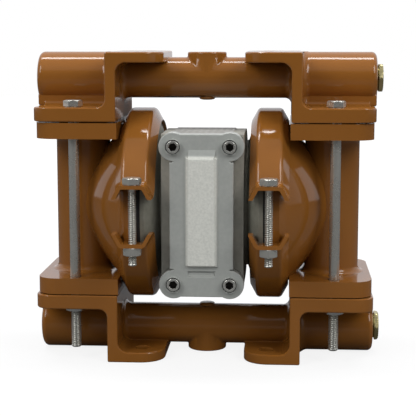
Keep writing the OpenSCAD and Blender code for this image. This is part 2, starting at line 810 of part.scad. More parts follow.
module tie_bolts() {
    color(zinc_steel) at_middle() four(tie_x, tie_y) {
        translate([0, 0, flange_top]) rotate(tie_head_turn) hexagon(hex_flat, head_h);
        translate([0, 0, tie_end_z - mid_z]) cylinder(r = bolt_r, h = mid_z - tie_end_z + flange_top + over);
    }
}

module tie_nuts() {
    color(stainless) at_middle() four(tie_x, tie_y) difference() {
        union() {
            translate([0, 0, -flange_top - tie_nut_t]) cylinder(r = tie_nut_r, h = tie_nut_t);
            translate([0, 0, -flange_top - over]) cylinder(r = tie_shank_r - fit, h = tie_shank_len + over);
        }
        translate([0, 0, -flange_top - tie_nut_t - over])
            cylinder(r = bolt_r + fit, h = flange_t + tie_nut_t + 2 * over);
    }
}

// Half section of a diaphragm: hub, flat, one rolled fold and the bead at the rim
module diaphragm_section() {
    half = membrane_t / 2;
    difference() {
        union() {
            translate([shaft_r + play, diaphragm_x - half]) square([cavity_r - shaft_r, membrane_t]);
            translate([cavity_r + over, bead_in + fit]) square([bead_r - cavity_r - over, bead_t - 2 * fit]);
            translate([roll_centre_r, diaphragm_x + half]) circle(r = roll_r + membrane_t);
        }
        translate([roll_centre_r, diaphragm_x + half]) circle(r = roll_r);
        translate([0, diaphragm_x + half]) square([cavity_r, roll_r + membrane_t + over]);
    }
}

module diaphragm() along_x() rotate_extrude($fn = 180) diaphragm_section();

module diaphragm_left() color(black_rubber) at_middle() side(-1) diaphragm();
module diaphragm_right() color(black_rubber) at_middle() side(1) diaphragm();

// Air side plate of a diaphragm
module inner_plate() {
    translate([diaphragm_x - plate_gap, 0, 0]) rotate([0, -90, 0]) difference() {
        rounded_bar(plate_r, plate_t, plate_edge_r);
        translate([0, 0, -over]) cylinder(r = shaft_r + fit, h = plate_t + 2 * over);
    }
}

// Liquid side plate of a diaphragm, with the hub that screws onto the shaft
module outer_plate() {
    translate([outer_plate_x, 0, 0]) along_x() difference() {
        union() {
            rounded_bar(plate_r, plate_t, plate_edge_r);
            rounded_bar(hub_r, hub_h + over, plate_t);
            translate([0, 0, plate_t]) ring_fillet(hub_r, plate_t);
        }
        translate([0, 0, -over]) cylinder(r = shaft_r + fit, h = hub_h + over);
    }
}

module inner_plate_left() color(raw_aluminium) at_middle() side(-1) inner_plate();
module inner_plate_right() color(raw_aluminium) at_middle() side(1) inner_plate();
module outer_plate_left() color(stainless) at_middle() side(-1) outer_plate();
module outer_plate_right() color(stainless) at_middle() side(1) outer_plate();

module diaphragm_shaft() {
    color(stainless) at_middle() translate([-shaft_end + play, 0, 0]) along_x()
        cylinder(r = shaft_r, h = 2 * (shaft_end - play));
}

// Plain tube of the shaft line, on the right side
module shaft_ring(x, len, r) {
    translate([x, 0, 0]) along_x() difference() {
        cylinder(r = r, h = len);
        translate([0, 0, -over]) cylinder(r = shaft_r + fit, h = len + 2 * over);
    }
}

module shaft_bushings() {
    color(nickel_brass) at_middle() for (s = [-1, 1])
        side(s) shaft_ring(block_x - bushing_len, bushing_len, bushing_r);
}

module shaft_seals() {
    color(black_rubber) at_middle() for (s = [-1, 1])
        side(s) shaft_ring(block_x - bushing_len - seal_len + fit, seal_len - 2 * fit, bushing_r);
}

// Seat ring with its chamfered lip on top, which lies at the origin
module valve_seat() {
    translate([0, 0, -seat_h]) difference() {
        cylinder(r = seat_r, h = seat_h);
        translate([0, 0, -over]) cylinder(r = seat_bore_r, h = seat_h + 2 * over);
        translate([0, 0, seat_h - seat_lip_depth])
            cylinder(r1 = seat_bore_r, r2 = seat_lip_r, h = seat_lip_depth);
    }
}

// Cage that guides a ball and stops its lift, standing on the seal over the seat
module valve_cage() {
    translate([0, 0, seal_gap]) difference() {
        cylinder(r = cage_r, h = cage_h);
        translate([0, 0, -over]) cylinder(r = cage_bore_r, h = cage_h - cage_top_t + over);
        translate([0, 0, -over]) cylinder(r = cage_stop_r, h = cage_h + 2 * over);
        for (a = [-45, 45]) rotate(a) translate([-cage_r - over, -window_w / 2, cage_rail])
            cube([2 * (cage_r + over), window_w, cage_h - cage_top_t - 2 * cage_rail]);
    }
}

module seat_seal() {
    difference() {
        cylinder(r = seal_r, h = seal_gap);
        translate([0, 0, -over]) cylinder(r = cage_r, h = seal_gap + 2 * over);
    }
}

module column_pair(z) {
    for (s = [-1, 1]) translate([s * column_x, 0, z]) children();
}

module discharge_seats() color(stainless) at_middle() column_pair(discharge_seat_z) valve_seat();
module suction_seats() color(stainless) at_middle() column_pair(suction_seat_z) valve_seat();
module discharge_cages() color(white_plastic) at_middle() column_pair(discharge_seat_z) valve_cage();
module suction_cages() color(white_plastic) at_middle() column_pair(suction_seat_z) valve_cage();

module seat_seals() {
    color(black_rubber) at_middle() {
        column_pair(discharge_seat_z) seat_seal();
        column_pair(suction_seat_z) seat_seal();
    }
}

module valve_ball(s, z) {
    color(white_plastic) at_middle() translate([s * column_x, 0, z + ball_rise]) sphere(r = ball_r);
}

module discharge_ball_left() valve_ball(-1, discharge_seat_z);
module discharge_ball_right() valve_ball(1, discharge_seat_z);
module suction_ball_left() valve_ball(-1, suction_seat_z);
module suction_ball_right() valve_ball(1, suction_seat_z);

// Raised panel of the cover: sloping sides, a ramp on top and a square lower end
module cover_panel() {
    translate([0, 0, panel_low]) linear_extrude(panel_high - panel_low)
        polygon([[-panel_x, over], [-panel_x, 0], [-panel_top_x, -panel_rise],
            [panel_top_x, -panel_rise], [panel_x, 0], [panel_x, over]]);
    translate([-panel_top_x, 0, panel_high]) rotate([90, 0, 90]) linear_extrude(2 * panel_top_x)
        polygon([[over, -over], [-panel_rise, -over], [-panel_rise, 0], [0, panel_ramp], [over, panel_ramp]]);
}

module valve_cover() {
    color(cover_grey) at_middle() translate([0, -cover_back, cover_z]) difference() {
        union() {
            translate([0, -cover_t / 2, 0]) along_y(cover_t) cover_outline();
            translate([0, -cover_t, 0]) cover_panel();
        }
        four_cover() translate([0, over, 0]) rotate([90, 0, 0])
            cylinder(r = cover_screw_r + play, h = cover_t + 2 * over);
        translate([-panel_top_x, -cover_t - over, groove_high - groove_w])
            cube([2 * panel_top_x, over + groove_depth, groove_w]);
    }
}

module four_cover() {
    for (sx = [-1, 1]) {
        for (sz = [-1, 1]) {
            translate([sx * cover_screw_x, 0, sz * cover_screw_z]) children();
        }
    }
}

module cover_gasket() {
    color(black_rubber) at_middle() translate([0, -cover_back + gasket_t / 2, cover_z]) difference() {
        along_y(gasket_t - 2 * fit) intersection() {
            cover_outline();
            square([2 * block_x, 2 * block_r], center = true);
        }
        four_cover() rotate([90, 0, 0]) cylinder(r = cover_screw_r + play, h = 2 * gasket_t, center = true);
        cube([2 * chest_x, 2 * gasket_t, 2 * chest_z], center = true);
    }
}

module cover_screws() {
    color(zinc_steel) at_middle() translate([0, -cover_front, cover_z]) four_cover() difference() {
        union() {
            rotate([90, 0, 0]) rounded_bar(cover_screw_head_r, cover_screw_head_h, cover_screw_edge_r);
            translate([0, cover_t + gasket_t + cover_screw_len - over, 0]) rotate([90, 0, 0])
                cylinder(r = cover_screw_r, h = cover_t + gasket_t + cover_screw_len);
        }
        translate([0, -cover_screw_head_h + drive_depth, 0]) rotate([90, 0, 0])
            cylinder(r = drive_r, h = drive_depth + over, $fn = 6);
    }
}

// The sleeve stands in the valve chest, with three rows of ports to the back
module valve_sleeve() {
    color(nickel_brass) at_middle() translate([0, sleeve_y, cover_z]) difference() {
        translate([0, 0, -sleeve_half]) cylinder(r = sleeve_r, h = 2 * sleeve_half);
        translate([0, 0, -sleeve_half - over]) cylinder(r = spool_r + fit, h = 2 * (sleeve_half + over));
        for (i = [-1, 0, 1]) translate([0, 0, i * sleeve_half / 2]) rotate([-90, 0, 0])
            cylinder(r = sleeve_port_r, h = sleeve_r + over);
    }
}

// The spool rests at the lower end of its travel
module valve_spool() {
    land = spool_len * land_share;
    waist = (spool_len - 3 * land) / 2;
    color(stainless) at_middle() translate([0, sleeve_y, cover_z - sleeve_half]) {
        for (i = [0, 1, 2]) translate([0, 0, i * (land + waist)]) cylinder(r = spool_r, h = land);
        translate([0, 0, land / 2]) cylinder(r = spool_waist_r, h = spool_len - land);
    }
}

module spool_bumpers() {
    color(black_rubber) at_middle() translate([0, sleeve_y, cover_z]) for (s = [-1, 1])
        mirror([0, 0, s < 0 ? 1 : 0]) translate([0, 0, sleeve_half + fit]) cylinder(r = sleeve_r, h = bumper_t);
}

module pilot_sleeve() {
    color(nickel_brass) at_middle() translate([-pilot_sleeve_len / 2, pilot_y, 0]) along_x() difference() {
        cylinder(r = pilot_sleeve_r, h = pilot_sleeve_len);
        translate([0, 0, -over]) cylinder(r = pilot_r + fit, h = pilot_sleeve_len + 2 * over);
    }
}

module pilot_spool() {
    land = pilot_half * land_share;
    color(stainless) at_middle() translate([-pilot_half, pilot_y, 0]) along_x() {
        for (i = [0, 1, 2]) translate([0, 0, i * (pilot_half - land / 2)]) cylinder(r = pilot_r, h = land);
        translate([0, 0, land / 2]) cylinder(r = pilot_waist_r, h = 2 * pilot_half - land);
    }
}

module air_chamber_screws() {
    color(zinc_steel) at_middle() for (s = [-1, 1]) side(s) along_x() for (i = [0:air_screw_count - 1]) {
        rotate(turn * (i + 0.5) / air_screw_count) translate([air_screw_circle, 0, 0]) {
            translate([0, 0, air_floor_x]) rounded_bar(air_screw_head_r, air_screw_head_h, over);
            translate([0, 0, block_x - air_screw_len + over])
                cylinder(r = air_screw_r, h = air_screw_len + air_floor_t);
        }
    }
}

// Plug of the port on the right: threaded shank, collar and hexagon with a socket
module pipe_plug() {
    translate([port_face_x, 0, pipe_z]) along_x() difference() {
        union() {
            translate([0, 0, -plug_shank_len]) cylinder(r = plug_shank_r, h = plug_shank_len + over);
            translate([0, 0, fit]) cylinder(r = plug_collar_r, h = plug_collar_t);
            translate([0, 0, plug_collar_t]) hexagon(plug_flat, plug_head_h - plug_collar_t);
        }
        translate([0, 0, plug_head_h - plug_socket_depth]) cylinder(r = plug_socket_r, h = plug_socket_depth + over);
    }
}

module discharge_plug() color(nickel_brass) at_middle() pipe_plug();
module suction_plug() color(nickel_brass) at_middle() mirror([0, 0, 1]) pipe_plug();

// Ribbed muffler on the exhaust port behind the block
module muffler() {
    body = muffler_len - muffler_collar_t;
    pitch = body / muffler_ribs;
    color(blue_grey_plastic) at_middle() translate([0, pad_y, -air_port_z]) rotate([-90, 0, 0]) {
        translate([0, 0, -air_port_depth + over]) cylinder(r = exhaust_r - fit, h = air_port_depth);
        translate([0, 0, fit]) hexagon(muffler_r, muffler_collar_t);
        translate([0, 0, muffler_collar_t]) cylinder(r = muffler_neck_r, h = body - muffler_rib_t);
        for (i = [1:muffler_ribs]) translate([0, 0, muffler_collar_t + i * pitch - muffler_rib_t])
            cylinder(r = muffler_r, h = muffler_rib_t);
    }
}

discharge_manifold();
suction_manifold();
liquid_chamber_left();
liquid_chamber_right();
air_chamber_left();
air_chamber_right();
centre_block();
clamp_upper_left();
clamp_lower_left();
clamp_upper_right();
clamp_lower_right();
clamp_bolts();
clamp_nuts();
tie_bolts();
tie_nuts();
diaphragm_left();
diaphragm_right();
inner_plate_left();
inner_plate_right();
outer_plate_left();
outer_plate_right();
diaphragm_shaft();
shaft_bushings();
shaft_seals();
discharge_seats();
suction_seats();
seat_seals();
discharge_cages();
suction_cages();
discharge_ball_left();
discharge_ball_right();
suction_ball_left();
suction_ball_right();
valve_cover();
cover_gasket();
cover_screws();
valve_sleeve();
valve_spool();
spool_bumpers();
pilot_sleeve();
pilot_spool();
air_chamber_screws();
discharge_plug();
suction_plug();
muffler();
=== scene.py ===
# %% [markdown]
# # An air operated diaphragm pump, dressed for its picture
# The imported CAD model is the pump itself: every casting, clamp, bolt and ball is already
# in its place, in metres. This lesson adds what CAD leaves plain: baked enamel, raw cast
# aluminium, zinc plating, screw threads and rounded edges, and then a camera and a studio.

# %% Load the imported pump
import json
import math

import bmesh
import bpy
import numpy as np
from mathutils import Matrix, Vector


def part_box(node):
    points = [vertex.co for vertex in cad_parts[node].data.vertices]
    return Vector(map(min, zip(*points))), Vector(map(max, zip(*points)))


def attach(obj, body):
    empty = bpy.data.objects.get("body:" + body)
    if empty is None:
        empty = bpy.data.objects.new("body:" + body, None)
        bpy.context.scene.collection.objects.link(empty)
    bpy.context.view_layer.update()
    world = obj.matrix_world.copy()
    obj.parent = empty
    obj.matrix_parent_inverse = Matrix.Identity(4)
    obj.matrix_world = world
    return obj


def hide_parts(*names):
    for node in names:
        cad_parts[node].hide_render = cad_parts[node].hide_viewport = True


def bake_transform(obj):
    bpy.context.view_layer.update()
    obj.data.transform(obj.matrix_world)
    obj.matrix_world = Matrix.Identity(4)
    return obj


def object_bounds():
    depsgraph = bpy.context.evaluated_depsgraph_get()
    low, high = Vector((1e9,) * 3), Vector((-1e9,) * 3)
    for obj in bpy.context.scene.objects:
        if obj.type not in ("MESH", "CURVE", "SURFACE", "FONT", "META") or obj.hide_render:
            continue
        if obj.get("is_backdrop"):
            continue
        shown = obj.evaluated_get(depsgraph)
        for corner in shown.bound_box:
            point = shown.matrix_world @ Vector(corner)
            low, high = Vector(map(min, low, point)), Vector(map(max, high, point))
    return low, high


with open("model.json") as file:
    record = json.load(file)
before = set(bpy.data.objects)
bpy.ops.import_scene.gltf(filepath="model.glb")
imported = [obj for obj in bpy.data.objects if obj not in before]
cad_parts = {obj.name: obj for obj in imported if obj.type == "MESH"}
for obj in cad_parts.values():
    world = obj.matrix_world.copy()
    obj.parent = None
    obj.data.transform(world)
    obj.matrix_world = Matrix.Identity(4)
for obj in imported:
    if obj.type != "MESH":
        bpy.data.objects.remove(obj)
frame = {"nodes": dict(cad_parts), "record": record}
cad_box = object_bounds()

MM = 0.001
nodes = frame["nodes"]
print("pump is", [round((high - low) / MM, 1) for low, high in zip(*cad_box)], "mm in size")

# %% [markdown]
# ## The camera
# The photograph was taken from the front, a little to the right and a little above the
# middle of the pump, with a long lens. A long lens keeps the two manifolds nearly parallel,
# so its length matters as much as its place. Both were solved from the two manifolds, which
# are equal castings at two heights.

# %% Camera
CAMERA_PLACE = Vector((62.0, -964.6, 252.0)) * MM
CAMERA_AIM = Vector((-0.06293, 0.98809, -0.14043))
LENS_MM = 105.0
SENSOR_MM = 36.0


def add_object(name, data):
    """An object that shows a mesh, a lens or a lamp, linked to the scene."""
    made = bpy.data.objects.new(name, data)
    bpy.context.scene.collection.objects.link(made)
    return made


lens = bpy.data.cameras.new("studio_camera")
lens.lens = LENS_MM
lens.sensor_width = SENSOR_MM
camera = add_object("studio_camera", lens)
camera.location = CAMERA_PLACE
camera.rotation_euler = CAMERA_AIM.to_track_quat("-Z", "Y").to_euler()
bpy.context.scene.camera = camera
bpy.context.scene.view_settings.view_transform = "Standard"
print("camera stands", round(CAMERA_PLACE.length, 3), "m from the pump's foot")

# %% [markdown]
# ## Colours and nodes
# Every finish below is a small tree of shader nodes. One function adds a node, sets it and
# links it. Colours are written as the sRGB hex values that a colour picker shows, and one
# function turns them into the linear values that the renderer works in.

# %% Colours and nodes
def linear(hex_text):
    """An sRGB hex colour as a linear RGBA tuple."""
    parts = [int(hex_text[i:i + 2], 16) / 255 for i in (1, 3, 5)]
    light = [c / 12.92 if c <= 0.04045 else ((c + 0.055) / 1.055) ** 2.4 for c in parts]
    return (*light, 1.0)


def put(tree, kind, inputs=None, **settings):
    """Adds a node to a tree. Inputs are values, or outputs of other nodes to link."""
    made = tree.nodes.new(kind)
    for name, value in settings.items():
        setattr(made, name, value)
    for name, value in (inputs or {}).items():
        if isinstance(value, bpy.types.NodeSocket):
            tree.links.new(value, made.inputs[name])
        else:
            made.inputs[name].default_value = value
    return made


print("the middle grey #808080 is", round(linear("#808080")[0], 3), "in linear light")

# %% [markdown]
# ## How a finish is built up
# No real skin is even. A finish starts from the plain colour, metal share and roughness of
# its material, and gets three layers on top: the colour drifts in blotches, the gloss wanders
# in patches, and the skin has small bumps. Each layer is a noise pattern, and its scale is
# worked out from a real size in millimetres. Noise stays near the middle of its range, so
# the gloss layer spreads that middle over the whole span that it is given.

# %% Layers of a finish
NOISE_LOW, NOISE_HIGH = 0.3, 0.7


def start_finish(name, color, metallic, roughness):
    """A new material with its shader set, and the place on the object in metres."""
    material = bpy.data.materials.new(name)
    material.use_nodes = True
    tree = material.node_tree
    shader = tree.nodes["Principled BSDF"]
    shader.inputs["Base Color"].default_value = linear(color)
    shader.inputs["Metallic"].default_value = metallic
    shader.inputs["Roughness"].default_value = roughness
    place = put(tree, "ShaderNodeTexCoord").outputs["Object"]
    return material, tree, shader, place


def per_metre(size_mm):
    """The scale of a pattern whose features are size_mm across."""
    return 1 / (size_mm * MM)


def mottle(tree, shader, place, size_mm, dark, light, detail=3.0):
    """Lets the colour drift between two hex values, in blotches of size_mm."""
    drift = put(tree, "ShaderNodeTexNoise",
                {"Vector": place, "Scale": per_metre(size_mm), "Detail": detail})
    mix = put(tree, "ShaderNodeMixRGB",
              {"Fac": drift.outputs["Fac"], "Color1": linear(dark), "Color2": linear(light)})
    tree.links.new(mix.outputs["Color"], shader.inputs["Base Color"])


def uneven_gloss(tree, shader, place, size_mm, low, high, detail=4.0):
    """Lets the roughness wander from low to high, in patches of size_mm."""
    patch = put(tree, "ShaderNodeTexNoise",
                {"Vector": place, "Scale": per_metre(size_mm), "Detail": detail})
    span = put(tree, "ShaderNodeMapRange",
               {"Value": patch.outputs["Fac"], "From Min": NOISE_LOW, "From Max": NOISE_HIGH,
                "To Min": low, "To Max": high})
    tree.links.new(span.outputs["Result"], shader.inputs["Roughness"])


def relief(tree, shader, height, depth_mm, under=None):
    """Turns a pattern into bumps of depth_mm, on top of an earlier relief if there is one."""
    inputs = {"Height": height, "Distance": depth_mm * MM, "Strength": 1.0}
    if under:
        inputs["Normal"] = under
    bump = put(tree, "ShaderNodeBump", inputs)
    tree.links.new(bump.outputs["Normal"], shader.inputs["Normal"])
    return bump.outputs["Normal"]


def lumpy_skin(tree, shader, place, size_mm, depth_mm, detail=2.0, under=None):
    """Gives the skin random lumps of size_mm that are depth_mm high."""
    lumps = put(tree, "ShaderNodeTexNoise",
                {"Vector": place, "Scale": per_metre(size_mm), "Detail": detail})
    return relief(tree, shader, lumps.outputs["Fac"], depth_mm, under)


print("the gloss follows noise between", NOISE_LOW, "and", NOISE_HIGH)

# %% [markdown]
# ## Baked enamel on the castings
# The manifolds, liquid chambers and clamps are cast or pressed metal under a brown baked
# enamel. It is a glossy film like a plastic, so it isn't metallic: a saturated body colour
# and one sharp reflection. The film follows the cast skin in soft lumps of about twelve
# millimetres, and has orange peel of about two, which softens the edges of the reflections.

# %% Enamel
CAST_LUMPS_MM, ORANGE_PEEL_MM = 12.0, 2.0
ENAMEL_IOR = 1.5
enamel, tree, shader, place = start_finish("baked_brown_enamel", "#8E5A22", metallic=0.0, roughness=0.1)
mottle(tree, shader, place, size_mm=30.0, dark="#89551F", light="#935E26")
uneven_gloss(tree, shader, place, size_mm=14.0, low=0.07, high=0.13)
shader.inputs["IOR"].default_value = ENAMEL_IOR
lumps = lumpy_skin(tree, shader, place, size_mm=CAST_LUMPS_MM, depth_mm=0.03)
lumpy_skin(tree, shader, place, size_mm=ORANGE_PEEL_MM, depth_mm=0.004, under=lumps)
print("enamel has lumps of", CAST_LUMPS_MM, "mm and orange peel of", ORANGE_PEEL_MM, "mm")

# %% [markdown]
# ## Cast aluminium without paint
# The centre block and the air chambers are sand cast and only blasted, under a thin sealing
# film. The skin is so rough and dull that it reads as olive grey stone with pale grains,
# and only a part of it shines as metal.

# %% Raw aluminium
SAND_GRAIN_MM = 0.9


def blasted(name, dark, light):
    """The finish of a blasted casting between two colours, with its tree, shader and place."""
    material, tree, shader, place = start_finish(name, dark, metallic=0.3, roughness=0.6)
    mottle(tree, shader, place, size_mm=6.0, dark=dark, light=light, detail=6.0)
    uneven_gloss(tree, shader, place, size_mm=2.0, low=0.5, high=0.7)
    lumps = lumpy_skin(tree, shader, place, size_mm=5.0, depth_mm=0.12)
    lumpy_skin(tree, shader, place, size_mm=SAND_GRAIN_MM, depth_mm=0.05, detail=4.0, under=lumps)
    return material, tree, shader, place


raw_aluminium = blasted("blasted_cast_aluminium", "#7C7A6D", "#A09E91")[0]
print("raw aluminium has sand grains of", SAND_GRAIN_MM, "mm")

# %% [markdown]
# The block's top has a raised pad that was milled flat, and it is much paler than the skin
# round it. The pad lies higher than everything else on the block, so height tells the shader
# where the cutter went, and a wave across it gives the cutter's marks. A wave needs its scale
# divided by a full turn, and then each light or dark band is as wide as the size given.

# %% Milled top of the block
MILLED_ABOVE = 179.3 * MM
CUTTER_MARK_MM = 2.5
# The block's skin is a lighter copy of the air chambers' blasted aluminium: painted light that brightens
# the block where it sits in shade between the clamps and the cover.
block_metal_painted_lighter, tree, shader, place = blasted("blasted_block_painted_lighter_with_milled_pad", "#97958A", "#BDBBB0")
level = put(tree, "ShaderNodeSeparateXYZ", {0: place}).outputs["Z"]
milled = put(tree, "ShaderNodeMath", {0: level, 1: MILLED_ABOVE}, operation="GREATER_THAN").outputs[0]
marks = put(tree, "ShaderNodeTexWave",
            {"Vector": place, "Scale": per_metre(CUTTER_MARK_MM) / math.tau, "Distortion": 1.0})
pale = put(tree, "ShaderNodeMixRGB",
           {"Fac": marks.outputs["Fac"], "Color1": linear("#9D9C97"), "Color2": linear("#A5A49F")})
skin = shader.inputs["Base Color"].links[0].from_socket
over = put(tree, "ShaderNodeMixRGB", {"Fac": milled, "Color1": skin, "Color2": pale.outputs["Color"]})
tree.links.new(over.outputs["Color"], shader.inputs["Base Color"])
print("the block is milled above", MILLED_ABOVE / MM, "mm")

# %% [markdown]
# ## The grey valve cover
# The cover is a die casting under a thin silver grey enamel with a satin sheen. The raised
# panel down its middle is paler and rougher: its skin was left pitted, so it scatters the
# light. Distance from the panel's middle, across and up, tells the shader where it is.

# %% Cover enamel
PANEL_HALF = 12.4 * MM
PANEL_MIDDLE, PANEL_REACH = 121.7 * MM, 42.5 * MM
PANEL_FADE = 1.5 * MM
PLAIN_GLOSS, PITTED_GLOSS = 0.3, 0.6
cover_enamel, tree, shader, place = start_finish(
    "satin_silver_enamel", "#A9ADAC", metallic=0.1, roughness=0.36)
spot = put(tree, "ShaderNodeSeparateXYZ", {0: place}).outputs
across = put(tree, "ShaderNodeMath", {0: spot["X"]}, operation="ABSOLUTE").outputs[0]
along = put(tree, "ShaderNodeMath", {0: spot["Z"], 1: PANEL_MIDDLE}, operation="SUBTRACT").outputs[0]
along = put(tree, "ShaderNodeMath", {0: along}, operation="ABSOLUTE").outputs[0]
within_width = put(tree, "ShaderNodeMapRange",
                   {"Value": across, "From Min": PANEL_HALF, "From Max": PANEL_HALF - PANEL_FADE})
within_length = put(tree, "ShaderNodeMapRange",
                    {"Value": along, "From Min": PANEL_REACH, "From Max": PANEL_REACH - PANEL_FADE})
on_panel = put(tree, "ShaderNodeMath",
               {0: within_width.outputs["Result"], 1: within_length.outputs["Result"]},
               operation="MULTIPLY").outputs[0]
print("the cover's panel is", 2 * PANEL_HALF / MM, "mm wide")

# %% [markdown]
# Now the two skins of the cover. The plain one drifts a little between two greys. The pitted
# one is paler, and one fine pattern gives both its colour and its pits.

# %% Plain and pitted skin
BLOTCH_MM, PIT_MM = 3.0, 1.6
plain_drift = put(tree, "ShaderNodeTexNoise",
                  {"Vector": place, "Scale": per_metre(BLOTCH_MM), "Detail": 4.0})
pits = put(tree, "ShaderNodeTexNoise",
           {"Vector": place, "Scale": per_metre(PIT_MM), "Detail": 6.0}).outputs["Fac"]
plain = put(tree, "ShaderNodeMixRGB",
            {"Fac": plain_drift.outputs["Fac"], "Color1": linear("#A5A8A3"), "Color2": linear("#B8BAB4")})
pitted = put(tree, "ShaderNodeMixRGB",
             {"Fac": pits, "Color1": linear("#CBCCC3"), "Color2": linear("#F4F4EB")})
cover_color = put(tree, "ShaderNodeMixRGB",
                  {"Fac": on_panel, "Color1": plain.outputs["Color"], "Color2": pitted.outputs["Color"]})
tree.links.new(cover_color.outputs["Color"], shader.inputs["Base Color"])
gloss = put(tree, "ShaderNodeMapRange",
            {"Value": on_panel, "To Min": PLAIN_GLOSS, "To Max": PITTED_GLOSS})
tree.links.new(gloss.outputs["Result"], shader.inputs["Roughness"])
lumps = lumpy_skin(tree, shader, place, size_mm=6.0, depth_mm=0.03)
pit_depth = put(tree, "ShaderNodeMath", {0: pits, 1: on_panel}, operation="MULTIPLY").outputs[0]
relief(tree, shader, pit_depth, depth_mm=0.12, under=lumps)
print("the panel's roughness is", PITTED_GLOSS, "and", PLAIN_GLOSS, "round it")

# %% [markdown]
# ## Zinc plate
# The bolts are zinc plated steel. The plating is passivated, so it scatters a part of the
# light like chalk and shines with the rest: a bar has a bright middle and darker flanks. A
# metal share a little under one gives that mixture.

# %% Zinc plate
zinc, tree, shader, place = start_finish("zinc_plated_steel", "#C9C8C0", metallic=0.8, roughness=0.28)
mottle(tree, shader, place, size_mm=12.0, dark="#C0BFB7", light="#D2D1CA")
uneven_gloss(tree, shader, place, size_mm=9.0, low=0.24, high=0.32)
lumpy_skin(tree, shader, place, size_mm=4.0, depth_mm=0.002, detail=1.0)
print("zinc plate is ready")

# %% [markdown]
# ## Stainless steel and freshly cut aluminium
# The flanged nuts and the valve seats are turned stainless steel, whose tool marks run round
# the axis as fine bands. The threads in the ports are cut after the enamel, so they show
# clean aluminium.

# %% Turned and cut metal
TOOL_MARK_MM = 1.2
stainless, tree, shader, place = start_finish(
    "turned_stainless_steel", "#C3C4C2", metallic=1.0, roughness=0.24)
mottle(tree, shader, place, size_mm=8.0, dark="#B8B9B7", light="#CDCECC")
bands = put(tree, "ShaderNodeTexWave",
            {"Vector": place, "Scale": per_metre(TOOL_MARK_MM) / math.tau, "Distortion": 0.4},
            wave_type="BANDS", bands_direction="Z")
relief(tree, shader, bands.outputs["Fac"], depth_mm=0.004)

bare_metal, tree, shader, place = start_finish("cut_aluminium", "#C9CAC8", metallic=1.0, roughness=0.3)
mottle(tree, shader, place, size_mm=5.0, dark="#BFC0BE", light="#D2D3D1")
lumpy_skin(tree, shader, place, size_mm=1.0, depth_mm=0.006)
print("stainless steel has tool marks of", TOOL_MARK_MM, "mm")

# %% [markdown]
# ## Nickel plated brass and bronze
# The pipe plugs are brass under nickel, which is a little yellow where the plating is thin.
# The bushings and valve sleeves are sintered bronze, pressed from powder and left grainy.

# %% Nickel and bronze
nickel, tree, shader, place = start_finish(
    "nickel_plated_brass", "#C4B582", metallic=1.0, roughness=0.26)
mottle(tree, shader, place, size_mm=4.0, dark="#AFA06A", light="#D2C89E")
uneven_gloss(tree, shader, place, size_mm=2.5, low=0.2, high=0.42)
lumpy_skin(tree, shader, place, size_mm=0.8, depth_mm=0.01)

bronze, tree, shader, place = start_finish("sintered_bronze", "#A98149", metallic=1.0, roughness=0.42)
mottle(tree, shader, place, size_mm=2.0, dark="#96703C", light="#B58D55", detail=4.0)
lumpy_skin(tree, shader, place, size_mm=0.5, depth_mm=0.02)
print("nickel and bronze are ready")

# %% [markdown]
# ## Rubber and plastics
# Diaphragms and seals are pressed black rubber, matt with a faint bloom. Balls and cages are
# turned white plastic, slightly waxy, so a little light passes under its skin. The muffler is
# moulded grey plastic with a fine texture.

# %% Soft finishes
WAX_SHARE, WAX_DEPTH = 0.1, 2 * MM
rubber, tree, shader, place = start_finish(
    "pressed_black_rubber", "#232325", metallic=0.0, roughness=0.62)
mottle(tree, shader, place, size_mm=5.0, dark="#1D1D1F", light="#2B2B2D")
lumpy_skin(tree, shader, place, size_mm=0.6, depth_mm=0.01)

white_plastic, tree, shader, place = start_finish(
    "turned_white_plastic", "#E6E3DA", metallic=0.0, roughness=0.4)
mottle(tree, shader, place, size_mm=9.0, dark="#DFDCD2", light="#EBE9E1")
shader.inputs["Subsurface Weight"].default_value = WAX_SHARE
shader.inputs["Subsurface Scale"].default_value = WAX_DEPTH
lumpy_skin(tree, shader, place, size_mm=1.0, depth_mm=0.01)

grey_plastic, tree, shader, place = start_finish(
    "moulded_grey_plastic", "#555A62", metallic=0.0, roughness=0.5)
mottle(tree, shader, place, size_mm=6.0, dark="#4E535B", light="#5D626A")
lumpy_skin(tree, shader, place, size_mm=0.5, depth_mm=0.02, detail=1.0)
print("light passes", WAX_DEPTH / MM, "mm into the white plastic")

# %% [markdown]
# ## Which finish goes where
# The record names a material slot for every node, so one table from slot to finish dresses
# the whole pump.

# %% Dress the CAD nodes
FINISHES = {
    "casting_paint": enamel, "raw_aluminium": raw_aluminium, "cover_grey": cover_enamel,
    "zinc_steel": zinc, "stainless": stainless, "nickel_brass": nickel, "bronze": bronze,
    "black_rubber": rubber, "white_plastic": white_plastic, "grey_plastic": grey_plastic}
slots = {part["node"]: part["material_slot"] for part in frame["record"]["subparts"]}
for name, thing in nodes.items():
    thing.data.materials.clear()
    thing.data.materials.append(block_metal_painted_lighter if name == "centre_block" else FINISHES[slots[name]])
print("dressed", len(nodes), "nodes in", len(set(slots.values())), "finishes")

# %% [markdown]
# ## Rounded cast edges
# A casting has no sharp edge: the pattern is rounded so that it leaves the sand, and enamel
# rounds it further. CAD edges are sharp, so each casting gets a chain of modifiers. Weld
# joins the triangles, Decimate melts flat areas into single faces, Bevel rounds what turns
# by more than 32 degrees, and Weighted Normal shades the flats as flats. A bevel is usually
# narrowed until it fits the shortest edge. On the manifolds and the cover it is wide instead:
# it passes over short edges, and takes only what turns by more than 50 degrees.

# %% Round the edges of castings
WELD_GAP = 0.002 * MM
FLAT_DEGREES = 0.6
SHARP_DEGREES, SQUARE_DEGREES = 32, 50
ROUND_STEPS = 3


